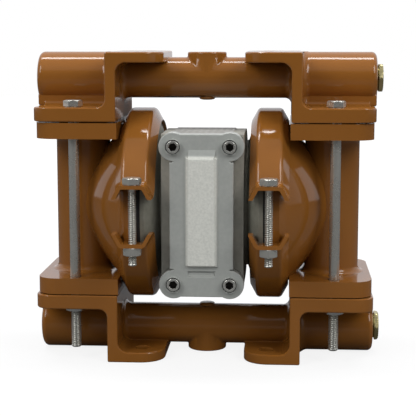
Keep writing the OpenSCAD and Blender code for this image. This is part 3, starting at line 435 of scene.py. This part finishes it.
def round_edges(name, radius_mm, wide):
    """Rounds the sharp edges of a CAD node by modifiers. A wide bevel passes short edges."""
    thing = nodes[name]
    weld = thing.modifiers.new("join_triangles", "WELD")
    weld.merge_threshold = WELD_GAP
    melt = thing.modifiers.new("melt_flats", "DECIMATE")
    melt.decimate_type = "DISSOLVE"
    melt.angle_limit = math.radians(FLAT_DEGREES)
    bevel = thing.modifiers.new("round_edges", "BEVEL")
    bevel.width = radius_mm * MM
    bevel.segments = ROUND_STEPS
    bevel.limit_method = "ANGLE"
    bevel.angle_limit = math.radians(SQUARE_DEGREES if wide else SHARP_DEGREES)
    bevel.use_clamp_overlap = not wide
    shade = thing.modifiers.new("shade_flats", "WEIGHTED_NORMAL")
    shade.keep_sharp = True
    shade.weight = 100


WIDE_EDGE_MM = {"discharge_manifold": 1.2, "suction_manifold": 1.2, "valve_cover": 0.8}
EDGE_MM = {
    "liquid_chamber_left": 1.6, "liquid_chamber_right": 1.6, "centre_block": 0.6,
    "air_chamber_left": 0.6, "air_chamber_right": 0.6, "clamp_upper_left": 1.1,
    "clamp_lower_left": 1.1, "clamp_upper_right": 1.1, "clamp_lower_right": 1.1,
    "tie_nuts": 0.4, "clamp_nuts": 0.2, "muffler": 0.4}
for name, radius in WIDE_EDGE_MM.items():
    round_edges(name, radius, wide=True)
for name, radius in EDGE_MM.items():
    round_edges(name, radius, wide=False)
print("rounded", len(WIDE_EDGE_MM) + len(EDGE_MM), "nodes")

# %% [markdown]
# ## Turned and threaded parts
# Bolts, plugs and threaded holes are shapes that a lathe makes, so they are drawn as rings of
# points stacked along an axis. Each ring says how far the skin reaches from the axis at 48
# angles. A hexagon is a ring whose reach follows its flats, the chamfer of a head is a cone
# that cuts the same ring, and a thread is a reach that rises and falls once per turn.

# %% Rings of points
AROUND = 48
ANGLES = np.arange(AROUND) * math.tau / AROUND


def plain_rings(pairs):
    """Round rings from pairs of height and radius."""
    return [(height, np.full(AROUND, radius)) for height, radius in pairs]


print("rings have", AROUND, "points")

# %% [markdown]
# A hexagon's corner would reach 1.155 times its half width. Real corners are a little worn,
# so the reach stops at 1.145. Under the head lies a round face that presses on the flange,
# and on top a cone of 30 degrees cuts the corners off.

# %% Hexagon heads
HEX_FLAT, HEAD_HEIGHT = 6.5, 5.3
SIXTH = math.pi / 3
CORNER_SHARE = 1.145
SEAT_SHARE, UNDERSIDE_SHARE, UNDERSIDE_HEIGHT = 0.94, 0.97, 0.1
CROWN_SHARE, TOP_SHARE = 0.96, 0.985
CHAMFER_SLOPE = math.sqrt(3)
HEAD_STEPS = (0.12, 0.5, 0.8, 0.86, 0.9, 0.94, 0.97, 0.99)


def hexagon_reach(flat_mm):
    """How far a hexagon reaches at each angle, with its corners slightly rounded."""
    folded = (ANGLES + SIXTH / 2) % SIXTH - SIXTH / 2
    return np.minimum(flat_mm / np.cos(SIXTH / 2 - abs(folded)), flat_mm * CORNER_SHARE)


def head_rings(flat_mm, height_mm):
    """A hexagon head from its seat at 0 to its chamfered top, as pairs of height and reach."""
    sides = hexagon_reach(flat_mm)
    crown = flat_mm * CROWN_SHARE
    head = plain_rings([(0.0, flat_mm * SEAT_SHARE),
                        (height_mm * UNDERSIDE_HEIGHT, flat_mm * UNDERSIDE_SHARE)])
    for share in HEAD_STEPS:
        height = height_mm * share
        head.append((height, np.minimum(sides, crown + (height_mm - height) * CHAMFER_SLOPE)))
    return head + plain_rings([(height_mm, crown * TOP_SHARE)])


print("a head of", 2 * HEX_FLAT, "mm is", round(2 * HEX_FLAT * CORNER_SHARE, 2), "mm across corners")

# %% [markdown]
# A thread's section has flat crests and roots with a slope between them. Along the bolt and
# round it the same section repeats, and turning once moves it by one pitch. At both ends the
# groove gets shallow, as a die leaves it.

# %% Threads
RINGS_PER_TURN = 6
CREST, FLANK = 1.25, 1.5


def thread_rings(low_mm, high_mm, outer_mm, pitch_mm, depth_mm, soften_mm=None):
    """A helical thread from a low to a high place, fading out at both ends."""
    soften = soften_mm or pitch_mm
    turns = []
    for height in np.arange(low_mm, high_mm, pitch_mm / RINGS_PER_TURN):
        turn = (height / pitch_mm - ANGLES / math.tau) % 1.0
        wave = np.clip(CREST - abs(turn * 2 - 1) * FLANK, 0, 1)
        fade = min(1.0, (height - low_mm) / soften, (high_mm - height) / soften)
        turns.append((height, outer_mm - depth_mm * fade * (1 - wave)))
    return turns


print("a thread has", RINGS_PER_TURN, "rings in each turn")

# %% [markdown]
# The rings become one mesh for each kind of fastener, with a copy at every place. A matrix
# turns the axis of the rings to where the part points, and the skin is shaded smooth except
# where it turns by more than 40 degrees.

# %% A mesh from rings
CREASE_DEGREES = 40


def shade_smooth(mesh):
    """Shades a mesh smooth, with creases where it turns sharply."""
    mesh.polygons.foreach_set("use_smooth", [True] * len(mesh.polygons))
    mesh.set_sharp_from_angle(angle=math.radians(CREASE_DEGREES))


def ring_faces(rows, hollow):
    """The faces between rings. A hollow piece closes on its first ring, others get end caps."""
    faces = []
    for row in range(rows if hollow else rows - 1):
        here, beyond = row * AROUND, (row + 1) % rows * AROUND
        for k in range(AROUND):
            beside = (k + 1) % AROUND
            faces.append((here + k, here + beside, beyond + beside, beyond + k))
    if not hollow:
        faces.append(tuple(range(AROUND - 1, -1, -1)))
        faces.append(tuple((rows - 1) * AROUND + k for k in range(AROUND)))
    return faces


def turned_piece(name, rings, places, finish, stands_for=None, hollow=False):
    """One object from rings along local Z, copied to each matrix in places, in millimetres."""
    heights = np.array([height for height, _ in rings])
    reach = np.array([radii for _, radii in rings])
    skin = np.stack([reach * np.cos(ANGLES), reach * np.sin(ANGLES),
                     np.repeat(heights[:, None], AROUND, axis=1)], axis=-1).reshape(-1, 3)
    faces = ring_faces(len(rings), hollow)
    points, every_face = [], []
    for copy, matrix in enumerate(places):
        points.append(np.array([matrix @ Vector(point) for point in skin]) * MM)
        every_face += [tuple(copy * len(skin) + k for k in face) for face in faces]
    mesh = bpy.data.meshes.new(name)
    mesh.from_pydata(np.concatenate(points).tolist(), [], every_face)
    shade_smooth(mesh)
    mesh.materials.append(finish)
    piece = add_object(name, mesh)
    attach(piece, "housing")
    if stands_for:
        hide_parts(stands_for)
    print(name, "has", len(mesh.polygons), "faces in", len(places), "copies")


# %% [markdown]
# ## The tie bolts
# Four long bolts hold both manifolds on the chambers. Each has a chamfered hexagon head on
# the upper flange, a smooth shank, and a thread on its lower 46 millimetres. The thread is
# drawn with a pitch of 1.6 millimetres and 0.8 deep, a little coarser than real, so that it
# shows at this distance.

# %% Tie bolts
THREAD_PITCH, THREAD_START = 1.6, 0.1
TIE_RADIUS, TIE_THREAD = 4.0, 46.0
TIE_X, TIE_Y = 100.5, 41.5


def turn_about(axis, degrees):
    """A matrix that turns a part about an axis."""
    return Matrix.Rotation(math.radians(degrees), 4, axis)


def at_corners(x, y, degrees):
    """Four places for parts that point up, left and right of the middle, front and rear."""
    return [Matrix.Translation((sx * x, sy * y, 0.0)) @ turn_about("Z", degrees)
            for sx in (-1, 1) for sy in (-1, 1)]


def bolt_rings(tip, seat, radius, threaded_to, thread_depth, tip_cut):
    """A hexagon bolt from its chamfered tip up to its head, with a thread from the tip on."""
    bolt = plain_rings([(tip, radius - tip_cut), (tip + thread_depth, radius - THREAD_START)])
    bolt += thread_rings(tip + thread_depth + THREAD_START, threaded_to, radius,
                         THREAD_PITCH, thread_depth)
    bolt += plain_rings([(threaded_to, radius), (seat, radius)])
    return bolt + [(seat + height, reach) for height, reach in head_rings(HEX_FLAT, HEAD_HEIGHT)]


tie_low, tie_high = (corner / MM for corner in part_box("tie_bolts"))
tie_bolt = bolt_rings(tie_low.z, tie_high.z - HEAD_HEIGHT, TIE_RADIUS,
                      threaded_to=tie_low.z + TIE_THREAD, thread_depth=0.8, tip_cut=0.9)
turned_piece("tie_bolt_set", tie_bolt, at_corners(TIE_X, TIE_Y, 12.0),
             zinc, "tie_bolts")

# %% [markdown]
# ## The clamp bolts
# Each half clamp ends in two ears, and a bolt draws the facing ears together in front and
# behind. The bolt is threaded almost up to its head, and its tail stands out below the nut.

# %% Clamp bolts
CLAMP_BOLT_RADIUS, CLAMP_PLAIN = 3.2, 4.0
CLAMP_X, CLAMP_Y = 50.5, 81.95
clamp_low, clamp_high = (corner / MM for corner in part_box("clamp_bolts"))
clamp_seat = clamp_high.z - HEAD_HEIGHT
clamp_bolt = bolt_rings(clamp_low.z, clamp_seat, CLAMP_BOLT_RADIUS,
                        threaded_to=clamp_seat - CLAMP_PLAIN, thread_depth=0.7, tip_cut=0.7)
turned_piece("clamp_bolt_set", clamp_bolt, at_corners(CLAMP_X, CLAMP_Y, 22.0),
             zinc, "clamp_bolts")

# %% [markdown]
# ## The cover's screws
# Four cap screws hold the valve cover. From the front each is a bright ring round a dark
# hexagon socket, and a black gap runs round the head, because it sits in a cast collar. The
# socket and the gap also get painted shade: distance behind the rim tells the shader where,
# and the zinc turns black between 0.8 and 1.3 millimetres deep.

# %% Zinc with painted shade in the sockets
SOCKET_SHADE_STARTS, SOCKET_SHADE_FULL = 0.8, 1.3
screw_low, screw_high = (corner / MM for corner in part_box("cover_screws"))
socket_shaded_zinc, tree, shader, place = start_finish(
    "zinc_with_painted_socket_shade", "#D2D1CA", metallic=0.8, roughness=0.26)
inward = put(tree, "ShaderNodeSeparateXYZ", {0: place}).outputs["Y"]
deep = put(tree, "ShaderNodeMapRange",
           {"Value": inward, "From Min": (screw_low.y + SOCKET_SHADE_STARTS) * MM,
            "From Max": (screw_low.y + SOCKET_SHADE_FULL) * MM})
# Painted shade: deeper than 0.8 mm behind the rim the zinc turns near black, in the socket and on the
# head's side.
painted_socket_shade = put(tree, "ShaderNodeMixRGB",
            {"Fac": deep.outputs["Result"], "Color1": linear("#D2D1CA"), "Color2": linear("#24221E")})
tree.links.new(painted_socket_shade.outputs["Color"], shader.inputs["Base Color"])
lumpy_skin(tree, shader, place, size_mm=1.5, depth_mm=0.006)
print("painted shade covers what lies", SOCKET_SHADE_FULL, "mm behind the rim")

# %% [markdown]
# The screw's rings run from the end of its shank over the rounded rim of the head and down
# into the socket. The collar is a piece of its own with the cover's enamel, and the screws
# on both sides are turned differently, as they stopped when they were tightened.

# %% Cover screws and collars
COLLAR, COLLAR_HEIGHT, COLLAR_BORE = 5.9, 3.0, 5.65
COLLAR_EDGE, COLLAR_FOOT = 0.1, 0.02
SCREW_HEAD, SCREW_HEAD_HEIGHT, SCREW_RADIUS, SCREW_EDGE = 4.9, 2.9, 3.0, 0.6
SOCKET_FLAT, SOCKET_DEPTH, SOCKET_EDGE, SOCKET_CONE = 2.8, 2.4, 0.25, 0.3
SCREW_TURNS = ((-1, 8.0), (1, 35.0))
cover_face = screw_low.y + COLLAR_HEIGHT
shank_end = cover_face - screw_high.y
screw = plain_rings([(shank_end, SCREW_RADIUS - SCREW_EDGE), (shank_end + SCREW_EDGE, SCREW_RADIUS),
                     (0.0, SCREW_RADIUS), (0.0, SCREW_HEAD)])
for angle in np.linspace(0, math.pi / 2, 7):
    screw += plain_rings([(SCREW_HEAD_HEIGHT - SCREW_EDGE * (1 - math.sin(angle)),
                           SCREW_HEAD - SCREW_EDGE * (1 - math.cos(angle)))])
socket = hexagon_reach(SOCKET_FLAT)
screw += [(SCREW_HEAD_HEIGHT, socket + SOCKET_EDGE), (SCREW_HEAD_HEIGHT - SOCKET_EDGE, socket),
          (SCREW_HEAD_HEIGHT - SOCKET_DEPTH, socket)]
screw += plain_rings([(SCREW_HEAD_HEIGHT - SOCKET_DEPTH - SOCKET_CONE, SOCKET_CONE)])
collar = plain_rings([
    (0.0, COLLAR), (COLLAR_HEIGHT - 2 * COLLAR_EDGE, COLLAR), (COLLAR_HEIGHT, COLLAR - COLLAR_EDGE),
    (COLLAR_HEIGHT - COLLAR_EDGE, COLLAR_BORE), (COLLAR_FOOT, COLLAR_BORE)])
screw_x = screw_high.x - COLLAR
screw_places = [
    Matrix.Translation((side * screw_x, cover_face, z)) @ turn_about("X", 90) @ turn_about("Z", turn)
    for side, turn in SCREW_TURNS for z in (screw_low.z + COLLAR, screw_high.z - COLLAR)]
turned_piece("cover_screw_set", screw, screw_places, socket_shaded_zinc, "cover_screws")
turned_piece("cover_screw_collars", collar, screw_places, cover_enamel, hollow=True)

# %% [markdown]
# ## The pipe plugs
# A plug closes the right end of each manifold. The thread of a real plug is tapered, so it
# jams before the hexagon seats, and a part of a turn stays in view. The drawn thread is
# straight, because only that part shows. A round recess lightens the head.

# %% Plugs
PORT_FACE = 133.0
PORT_HEIGHTS = {"discharge_plug": 219.4, "suction_plug": 20.6}
PORT_PITCH, PORT_THREAD_DEPTH = 1.8, 0.85
PLUG_FLAT, PLUG_HEIGHT, PLUG_STAND = 10.6, 5.0, 1.25
PLUG_TIP, PLUG_TIP_R, PLUG_TIP_CUT, PLUG_THREAD_R, PLUG_FADE = -12.0, 8.4, 0.6, 9.85, 0.2
RECESS_R, RECESS_EDGE, RECESS_DEPTH = 5.0, 0.3, 3.0
plug = plain_rings([(PLUG_TIP, PLUG_TIP_R), (PLUG_TIP + PLUG_TIP_CUT, PLUG_TIP_R + PLUG_TIP_CUT)])
plug += thread_rings(PLUG_TIP + PLUG_TIP_CUT + THREAD_START, PLUG_STAND - THREAD_START,
                     PLUG_THREAD_R, PORT_PITCH, PORT_THREAD_DEPTH, soften_mm=PLUG_FADE)
plug_head = head_rings(PLUG_FLAT, PLUG_HEIGHT - PLUG_STAND)
plug += [(PLUG_STAND + height, reach) for height, reach in plug_head]
plug += plain_rings([(PLUG_HEIGHT, RECESS_R + RECESS_EDGE), (PLUG_HEIGHT - RECESS_EDGE, RECESS_R),
                     (PLUG_HEIGHT - RECESS_DEPTH, RECESS_R)])
rightwards = turn_about("Y", 90) @ turn_about("Z", 30)
for name, height in PORT_HEIGHTS.items():
    turned_piece(name + "_threaded", plug, [Matrix.Translation((PORT_FACE, 0, height)) @ rightwards],
                 nickel, name)

# %% [markdown]
# ## Threads in the open ports
# The left ends are open ports with the same thread, and the air inlet behind has a smaller
# one. CAD left these bores smooth, so a thin sleeve with the thread on its inside lines each
# bore, from just inside its mouth.

# %% Threads inside the ports
MOUTH = 0.4
CREST_GAP, WALL_GAP = 0.05, 0.02
INLET_Y, INLET_Z = 63.0, 139.0


def inner_thread(depth_mm, bore_mm, pitch_mm, height_mm):
    """A thin threaded sleeve that lines a bore."""
    cut = thread_rings(-depth_mm, -MOUTH, bore_mm - CREST_GAP, pitch_mm, height_mm)
    return cut[::-1] + plain_rings([(-depth_mm, bore_mm - WALL_GAP), (-MOUTH, bore_mm - WALL_GAP)])


port_places = [Matrix.Translation((-PORT_FACE, 0, height)) @ turn_about("Y", -90)
               for height in PORT_HEIGHTS.values()]
port_thread = inner_thread(
    depth_mm=13.6, bore_mm=9.9, pitch_mm=PORT_PITCH, height_mm=PORT_THREAD_DEPTH)
turned_piece("port_threads", port_thread, port_places, bare_metal, hollow=True)
inlet_place = Matrix.Translation((0, INLET_Y, INLET_Z)) @ turn_about("X", -90)
inlet_thread = inner_thread(depth_mm=13.6, bore_mm=6.2, pitch_mm=1.4, height_mm=0.7)
turned_piece("air_inlet_thread", inlet_thread, [inlet_place],
             bare_metal, hollow=True)

# %% [markdown]
# ## The diaphragms
# Each diaphragm is clamped at its rim, and its hub goes with the shaft. The ring between them
# has one rolled fold, which lets it bend. Each diaphragm is cut into eight sectors like a cake.

# %% The diaphragm's section
SHAFT_HOLE, HALF, BEAD_HALF = 6.3, 1.2, 1.35
RIM_WIDTH, FREE_RING = 11.55, 26.0
ROLL, ROLL_SHIFT = 5.0, 2.0
ARC_STEPS = 13
UNDER_FROM, UNDER_TO = 341, 199
rim_low, rim_high = (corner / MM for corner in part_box("diaphragm_right"))
bead_r, plane = (rim_high.y - rim_low.y) / 2, rim_high.x - BEAD_HALF
cavity_r = bead_r - RIM_WIDTH
roll_r = cavity_r - FREE_RING / 2 + ROLL_SHIFT


def roll(radius, from_degrees, to_degrees):
    """The rolled fold's arc, as pairs of distance from the axis and height over the plane."""
    angles = [math.radians(degrees) for degrees in np.linspace(from_degrees, to_degrees, ARC_STEPS)]
    return [(roll_r + radius * math.cos(angle), HALF + radius * math.sin(angle)) for angle in angles]


section = [(SHAFT_HOLE, HALF)] + roll(ROLL, 180, 360)
section += [(cavity_r, HALF), (cavity_r, BEAD_HALF), (bead_r, BEAD_HALF),
            (bead_r, -BEAD_HALF), (cavity_r, -BEAD_HALF), (cavity_r, -HALF)]
section += roll(ROLL + 2 * HALF, UNDER_FROM, UNDER_TO) + [(SHAFT_HOLE, -HALF)]

# %% [markdown]
# A sector is the section, swept by an eighth of a turn round the shaft's axis, in six steps.

# %% Diaphragm sectors
SECTORS, STEPS = 8, 6
AXIS_Z = 120.0


def from_axis(side, out, radius, angle):
    """A point at a radius and an angle round the shaft's axis, in metres."""
    across, up = radius * math.cos(angle), radius * math.sin(angle)
    return side * (plane + out) * MM, across * MM, (AXIS_Z + up) * MM


def sector_mesh(name, side, sector):
    """One cake sector of a diaphragm as a closed mesh."""
    cuts = [math.tau * (sector + step / STEPS) / SECTORS for step in range(STEPS + 1)]
    points = [from_axis(side, out, radius, angle) for angle in cuts for radius, out in section]
    count = len(section)
    faces = []
    for step in range(STEPS):
        here, beyond = step * count, (step + 1) * count
        for k in range(count):
            after = (k + 1) % count
            faces.append((here + k, here + after, beyond + after, beyond + k))
    faces += [tuple(range(count)), tuple(STEPS * count + k for k in range(count))]
    mesh = bpy.data.meshes.new(name)
    mesh.from_pydata(points, [], faces)
    shaped = bmesh.new()
    shaped.from_mesh(mesh)
    bmesh.ops.recalc_face_normals(shaped, faces=shaped.faces)
    shaped.to_mesh(mesh)
    shaped.free()
    shade_smooth(mesh)
    mesh.materials.append(rubber)
    return mesh


for name, side in (("diaphragm_left", -1), ("diaphragm_right", 1)):
    for sector in range(SECTORS):
        sector_name = f"{name}_sector_{sector + 1}"
        piece = add_object(sector_name, sector_mesh(sector_name, side, sector))
        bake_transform(piece)
        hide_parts(name)
    print(name, "is cut into", SECTORS, "sectors")

# %% [markdown]
# ## The necks under the port bodies
# On the real casting the neck under each round port body runs out to the body's end face.
# The CAD neck stops six millimetres short, so a small cast block fills each notch. It ends
# in the wall of the port body, twelve millimetres from the middle, clear of the bore.

# %% Neck ends
NECK_HALF, NECK_IN, NECK_OUT, NECK_ROUND = 15.0, 125.5, 132.8, 1.5
WALL = 11.9
UPPER_FLANGE, LOWER_FLANGE = 197.6, 42.4
NECKS = {"upper": (PORT_HEIGHTS["discharge_plug"] - WALL, UPPER_FLANGE),
         "lower": (PORT_HEIGHTS["suction_plug"] + WALL, LOWER_FLANGE)}
BOX_SIDES = [(0, 1, 3, 2), (4, 6, 7, 5), (0, 4, 5, 1), (2, 3, 7, 6), (0, 2, 6, 4), (1, 5, 7, 3)]
for name, heights in NECKS.items():
    points, faces = [], []
    for side in (-1, 1):
        base = len(points)
        points += [(side * x * MM, y * MM, z * MM) for x in (NECK_IN, NECK_OUT)
                   for y in (-NECK_HALF, NECK_HALF) for z in sorted(heights)]
        faces += [tuple(base + k for k in (quad if side > 0 else quad[::-1])) for quad in BOX_SIDES]
    block = bpy.data.meshes.new("neck_ends_" + name)
    block.from_pydata(points, [], faces)
    block.materials.append(enamel)
    piece = add_object("neck_ends_" + name, block)
    soften = piece.modifiers.new("round_edges", "BEVEL")
    soften.width = NECK_ROUND * MM
    soften.segments = ROUND_STEPS
    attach(piece, "housing")
print("filled the notch under four port bodies")

# %% [markdown]
# ## The nubs on the pipes
# Opposite the round boss each cross pipe carries a small cast nub. The CAD nub is a plain
# cylinder, and a rounded cap lies over it, half a millimetre thick. Height counts from the
# floor, so the upper cap is the lower one turned over about the pump's middle.

# %% Nubs
NUB = [(34.8, 6.5), (36.5, 6.4), (37.2, 6.0), (37.8, 5.1), (38.1, 3.6), (38.2, 1.5)]
turned_over = Matrix.Translation((0, 0, 2 * AXIS_Z)) @ turn_about("X", 180)
turned_piece("pipe_nubs", plain_rings(NUB), [Matrix.Identity(4), turned_over], enamel)

# %% [markdown]
# ## The floor
# The photograph has a white ground with no horizon. A real white floor would throw a lot of
# light up under the pump, and the photograph's undersides are dark, so the floor gets a
# material of its own. It lies a tenth of a millimetre under the feet, so that no two faces
# lie in one plane.

# %% Floor
FLOOR_HALF, FLOOR_HEIGHT = 4.0, -0.1 * MM
floor_mesh = bpy.data.meshes.new("studio_floor")
corners = [(x * FLOOR_HALF, y * FLOOR_HALF, FLOOR_HEIGHT)
           for x, y in ((-1, -1), (1, -1), (1, 1), (-1, 1))]
floor_mesh.from_pydata(corners, [], [(0, 1, 2, 3)])
floor = add_object("studio_floor", floor_mesh)
floor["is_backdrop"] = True
print("floor is", 2 * FLOOR_HALF, "m wide")

# %% [markdown]
# The paper is a dark grey to the light that bounces, and the camera sees a white glow on top
# of it. The pump's own soft shadow still shows near its feet, where the glow is a little
# weaker, and further out the glow covers everything.

# %% White paper
SHADOW_NEAR, SHADOW_FAR = 0.3, 0.8
GLOW_NEAR, GLOW_FAR = 0.86, 1.0
paper = bpy.data.materials.new("white_paper")
paper.use_nodes = True
tree = paper.node_tree
tree.nodes.clear()
rays = put(tree, "ShaderNodeLightPath").outputs
seen = put(tree, "ShaderNodeMath",
           {0: rays["Is Camera Ray"], 1: rays["Is Transmission Ray"]}, operation="MAXIMUM")
where = put(tree, "ShaderNodeTexCoord").outputs["Object"]
away = put(tree, "ShaderNodeVectorMath", {0: where}, operation="LENGTH").outputs["Value"]
glow = put(tree, "ShaderNodeMapRange", {"Value": away, "From Min": SHADOW_NEAR, "From Max": SHADOW_FAR,
                                        "To Min": GLOW_NEAR, "To Max": GLOW_FAR}).outputs["Result"]
shown = put(tree, "ShaderNodeMath", {0: seen.outputs[0], 1: glow}, operation="MULTIPLY").outputs[0]
matte = put(tree, "ShaderNodeBsdfDiffuse", {"Color": linear("#646464")})
bright = put(tree, "ShaderNodeEmission", {"Color": linear("#FFFFFF"), "Strength": shown})
both = put(tree, "ShaderNodeAddShader", {0: matte.outputs[0], 1: bright.outputs[0]})
put(tree, "ShaderNodeOutputMaterial", {"Surface": both.outputs[0]})
floor_mesh.materials.append(paper)
print("shadows show within", SHADOW_FAR, "m of the pump's foot")

# %% [markdown]
# ## The room
# The reflections in the enamel tell what the room looked like. Faces that mirror the place
# behind the camera are dark, faces that mirror the back wall are pale, and a round port body
# changes tone where it mirrors the room 30 degrees above the horizon in front. So glossy
# rays see a room that is pale behind, above and at both sides, and dark low in front.
# Diffuse rays see an even dome, a little brighter overhead, and the camera sees white. Each
# limit below is a share of a heading: 1 is straight back, up or sideways, and 0 is at right
# angles to that.

# %% Room
BACK_STARTS, BACK_FULL, FRONT_LEVEL, BACK_LEVEL = -0.1, 0.35, 0.06, 0.95
CEILING_STARTS, CEILING_FULL, CEILING_LEVEL = 0.44, 0.6, 0.5
SIDE_STARTS, SIDE_FULL, SIDE_LEVEL = 0.6, 0.95, 0.45
DOME_STARTS, DOME_FULL, DOME_LOW, DOME_HIGH = -0.2, 1.0, 0.4, 0.75
world = bpy.data.worlds.new("white_room")
bpy.context.scene.world = world
world.use_nodes = True
tree = world.node_tree
tree.nodes.clear()
rays = put(tree, "ShaderNodeLightPath").outputs
direction = put(tree, "ShaderNodeTexCoord").outputs["Generated"]
heading = put(tree, "ShaderNodeSeparateXYZ", {0: direction}).outputs
behind = put(tree, "ShaderNodeMapRange",
             {"Value": heading["Y"], "From Min": BACK_STARTS, "From Max": BACK_FULL,
              "To Min": FRONT_LEVEL, "To Max": BACK_LEVEL}).outputs["Result"]
above = put(tree, "ShaderNodeMapRange",
            {"Value": heading["Z"], "From Min": CEILING_STARTS, "From Max": CEILING_FULL,
             "To Min": 0.0, "To Max": CEILING_LEVEL}).outputs["Result"]
sideways = put(tree, "ShaderNodeMath", {0: heading["X"]}, operation="ABSOLUTE").outputs[0]
beside = put(tree, "ShaderNodeMapRange",
             {"Value": sideways, "From Min": SIDE_STARTS, "From Max": SIDE_FULL,
              "To Min": 0.0, "To Max": SIDE_LEVEL}).outputs["Result"]
upper = put(tree, "ShaderNodeMath", {0: behind, 1: above}, operation="MAXIMUM").outputs[0]
mirrored = put(tree, "ShaderNodeMath", {0: upper, 1: beside}, operation="MAXIMUM").outputs[0]
dome = put(tree, "ShaderNodeMapRange",
           {"Value": heading["Z"], "From Min": DOME_STARTS, "From Max": DOME_FULL,
            "To Min": DOME_LOW, "To Max": DOME_HIGH}).outputs["Result"]
room_level = put(tree, "ShaderNodeMix",
                 {"Factor": rays["Is Glossy Ray"], "A": dome, "B": mirrored}).outputs["Result"]
room = put(tree, "ShaderNodeBackground", {"Color": linear("#EEF0F4"), "Strength": room_level})
white = put(tree, "ShaderNodeBackground", {"Color": linear("#FFFFFF"), "Strength": 1.0})
both = put(tree, "ShaderNodeMixShader",
           {0: rays["Is Camera Ray"], 1: room.outputs[0], 2: white.outputs[0]})
put(tree, "ShaderNodeOutputWorld", {"Surface": both.outputs[0]})
print("the room mirrors from", FRONT_LEVEL, "in front to", BACK_LEVEL, "behind")

# %% [markdown]
# ## Lamps
# Every rounded edge in the photograph carries one thin white line, and on the round port
# bodies that line lies where the surface mirrors the ceiling straight overhead. A long narrow
# strip lamp there draws it. Two soft boxes in front, left and right, light the front faces.
# They hang almost a metre over the pump, so the enamel mirrors them on its upper shoulders
# and leaves its upright front faces dark.

# %% Strip lamp and soft boxes
def soft_box(name, place, width, depth, power):
    """A rectangular area lamp at a place in metres, turned towards the pump's middle."""
    lamp = bpy.data.lights.new(name, "AREA")
    lamp.shape = "RECTANGLE"
    lamp.size = width
    lamp.size_y = depth
    lamp.energy = power
    made = add_object(name, lamp)
    made.location = place
    made.rotation_euler = (middle - Vector(place)).to_track_quat("-Z", "Y").to_euler()


middle = (cad_box[0] + cad_box[1]) / 2
soft_box("overhead_strip", (0.0, 0.16, 1.7), width=1.6, depth=0.24, power=16.0)
soft_box("left_box", (-1.0, -1.05, 1.15), width=0.7, depth=0.9, power=9.5)
soft_box("right_box", (1.1, -0.95, 1.15), width=0.7, depth=0.9, power=9.5)
print("three lamps light the pump")

# %% [markdown]
# ## Measure and finish
# The dressed pump is measured once more, and both boxes, of the CAD model and of the
# dressed pump, are kept side by side.

# %% Measure and finish
sizes = {"cad": [list(c) for c in cad_box], "visual": [list(c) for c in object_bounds()]}
dressed_size = [round((high - low) / MM, 1) for low, high in zip(*sizes["visual"])]
print("visual model is", dressed_size, "mm in size")
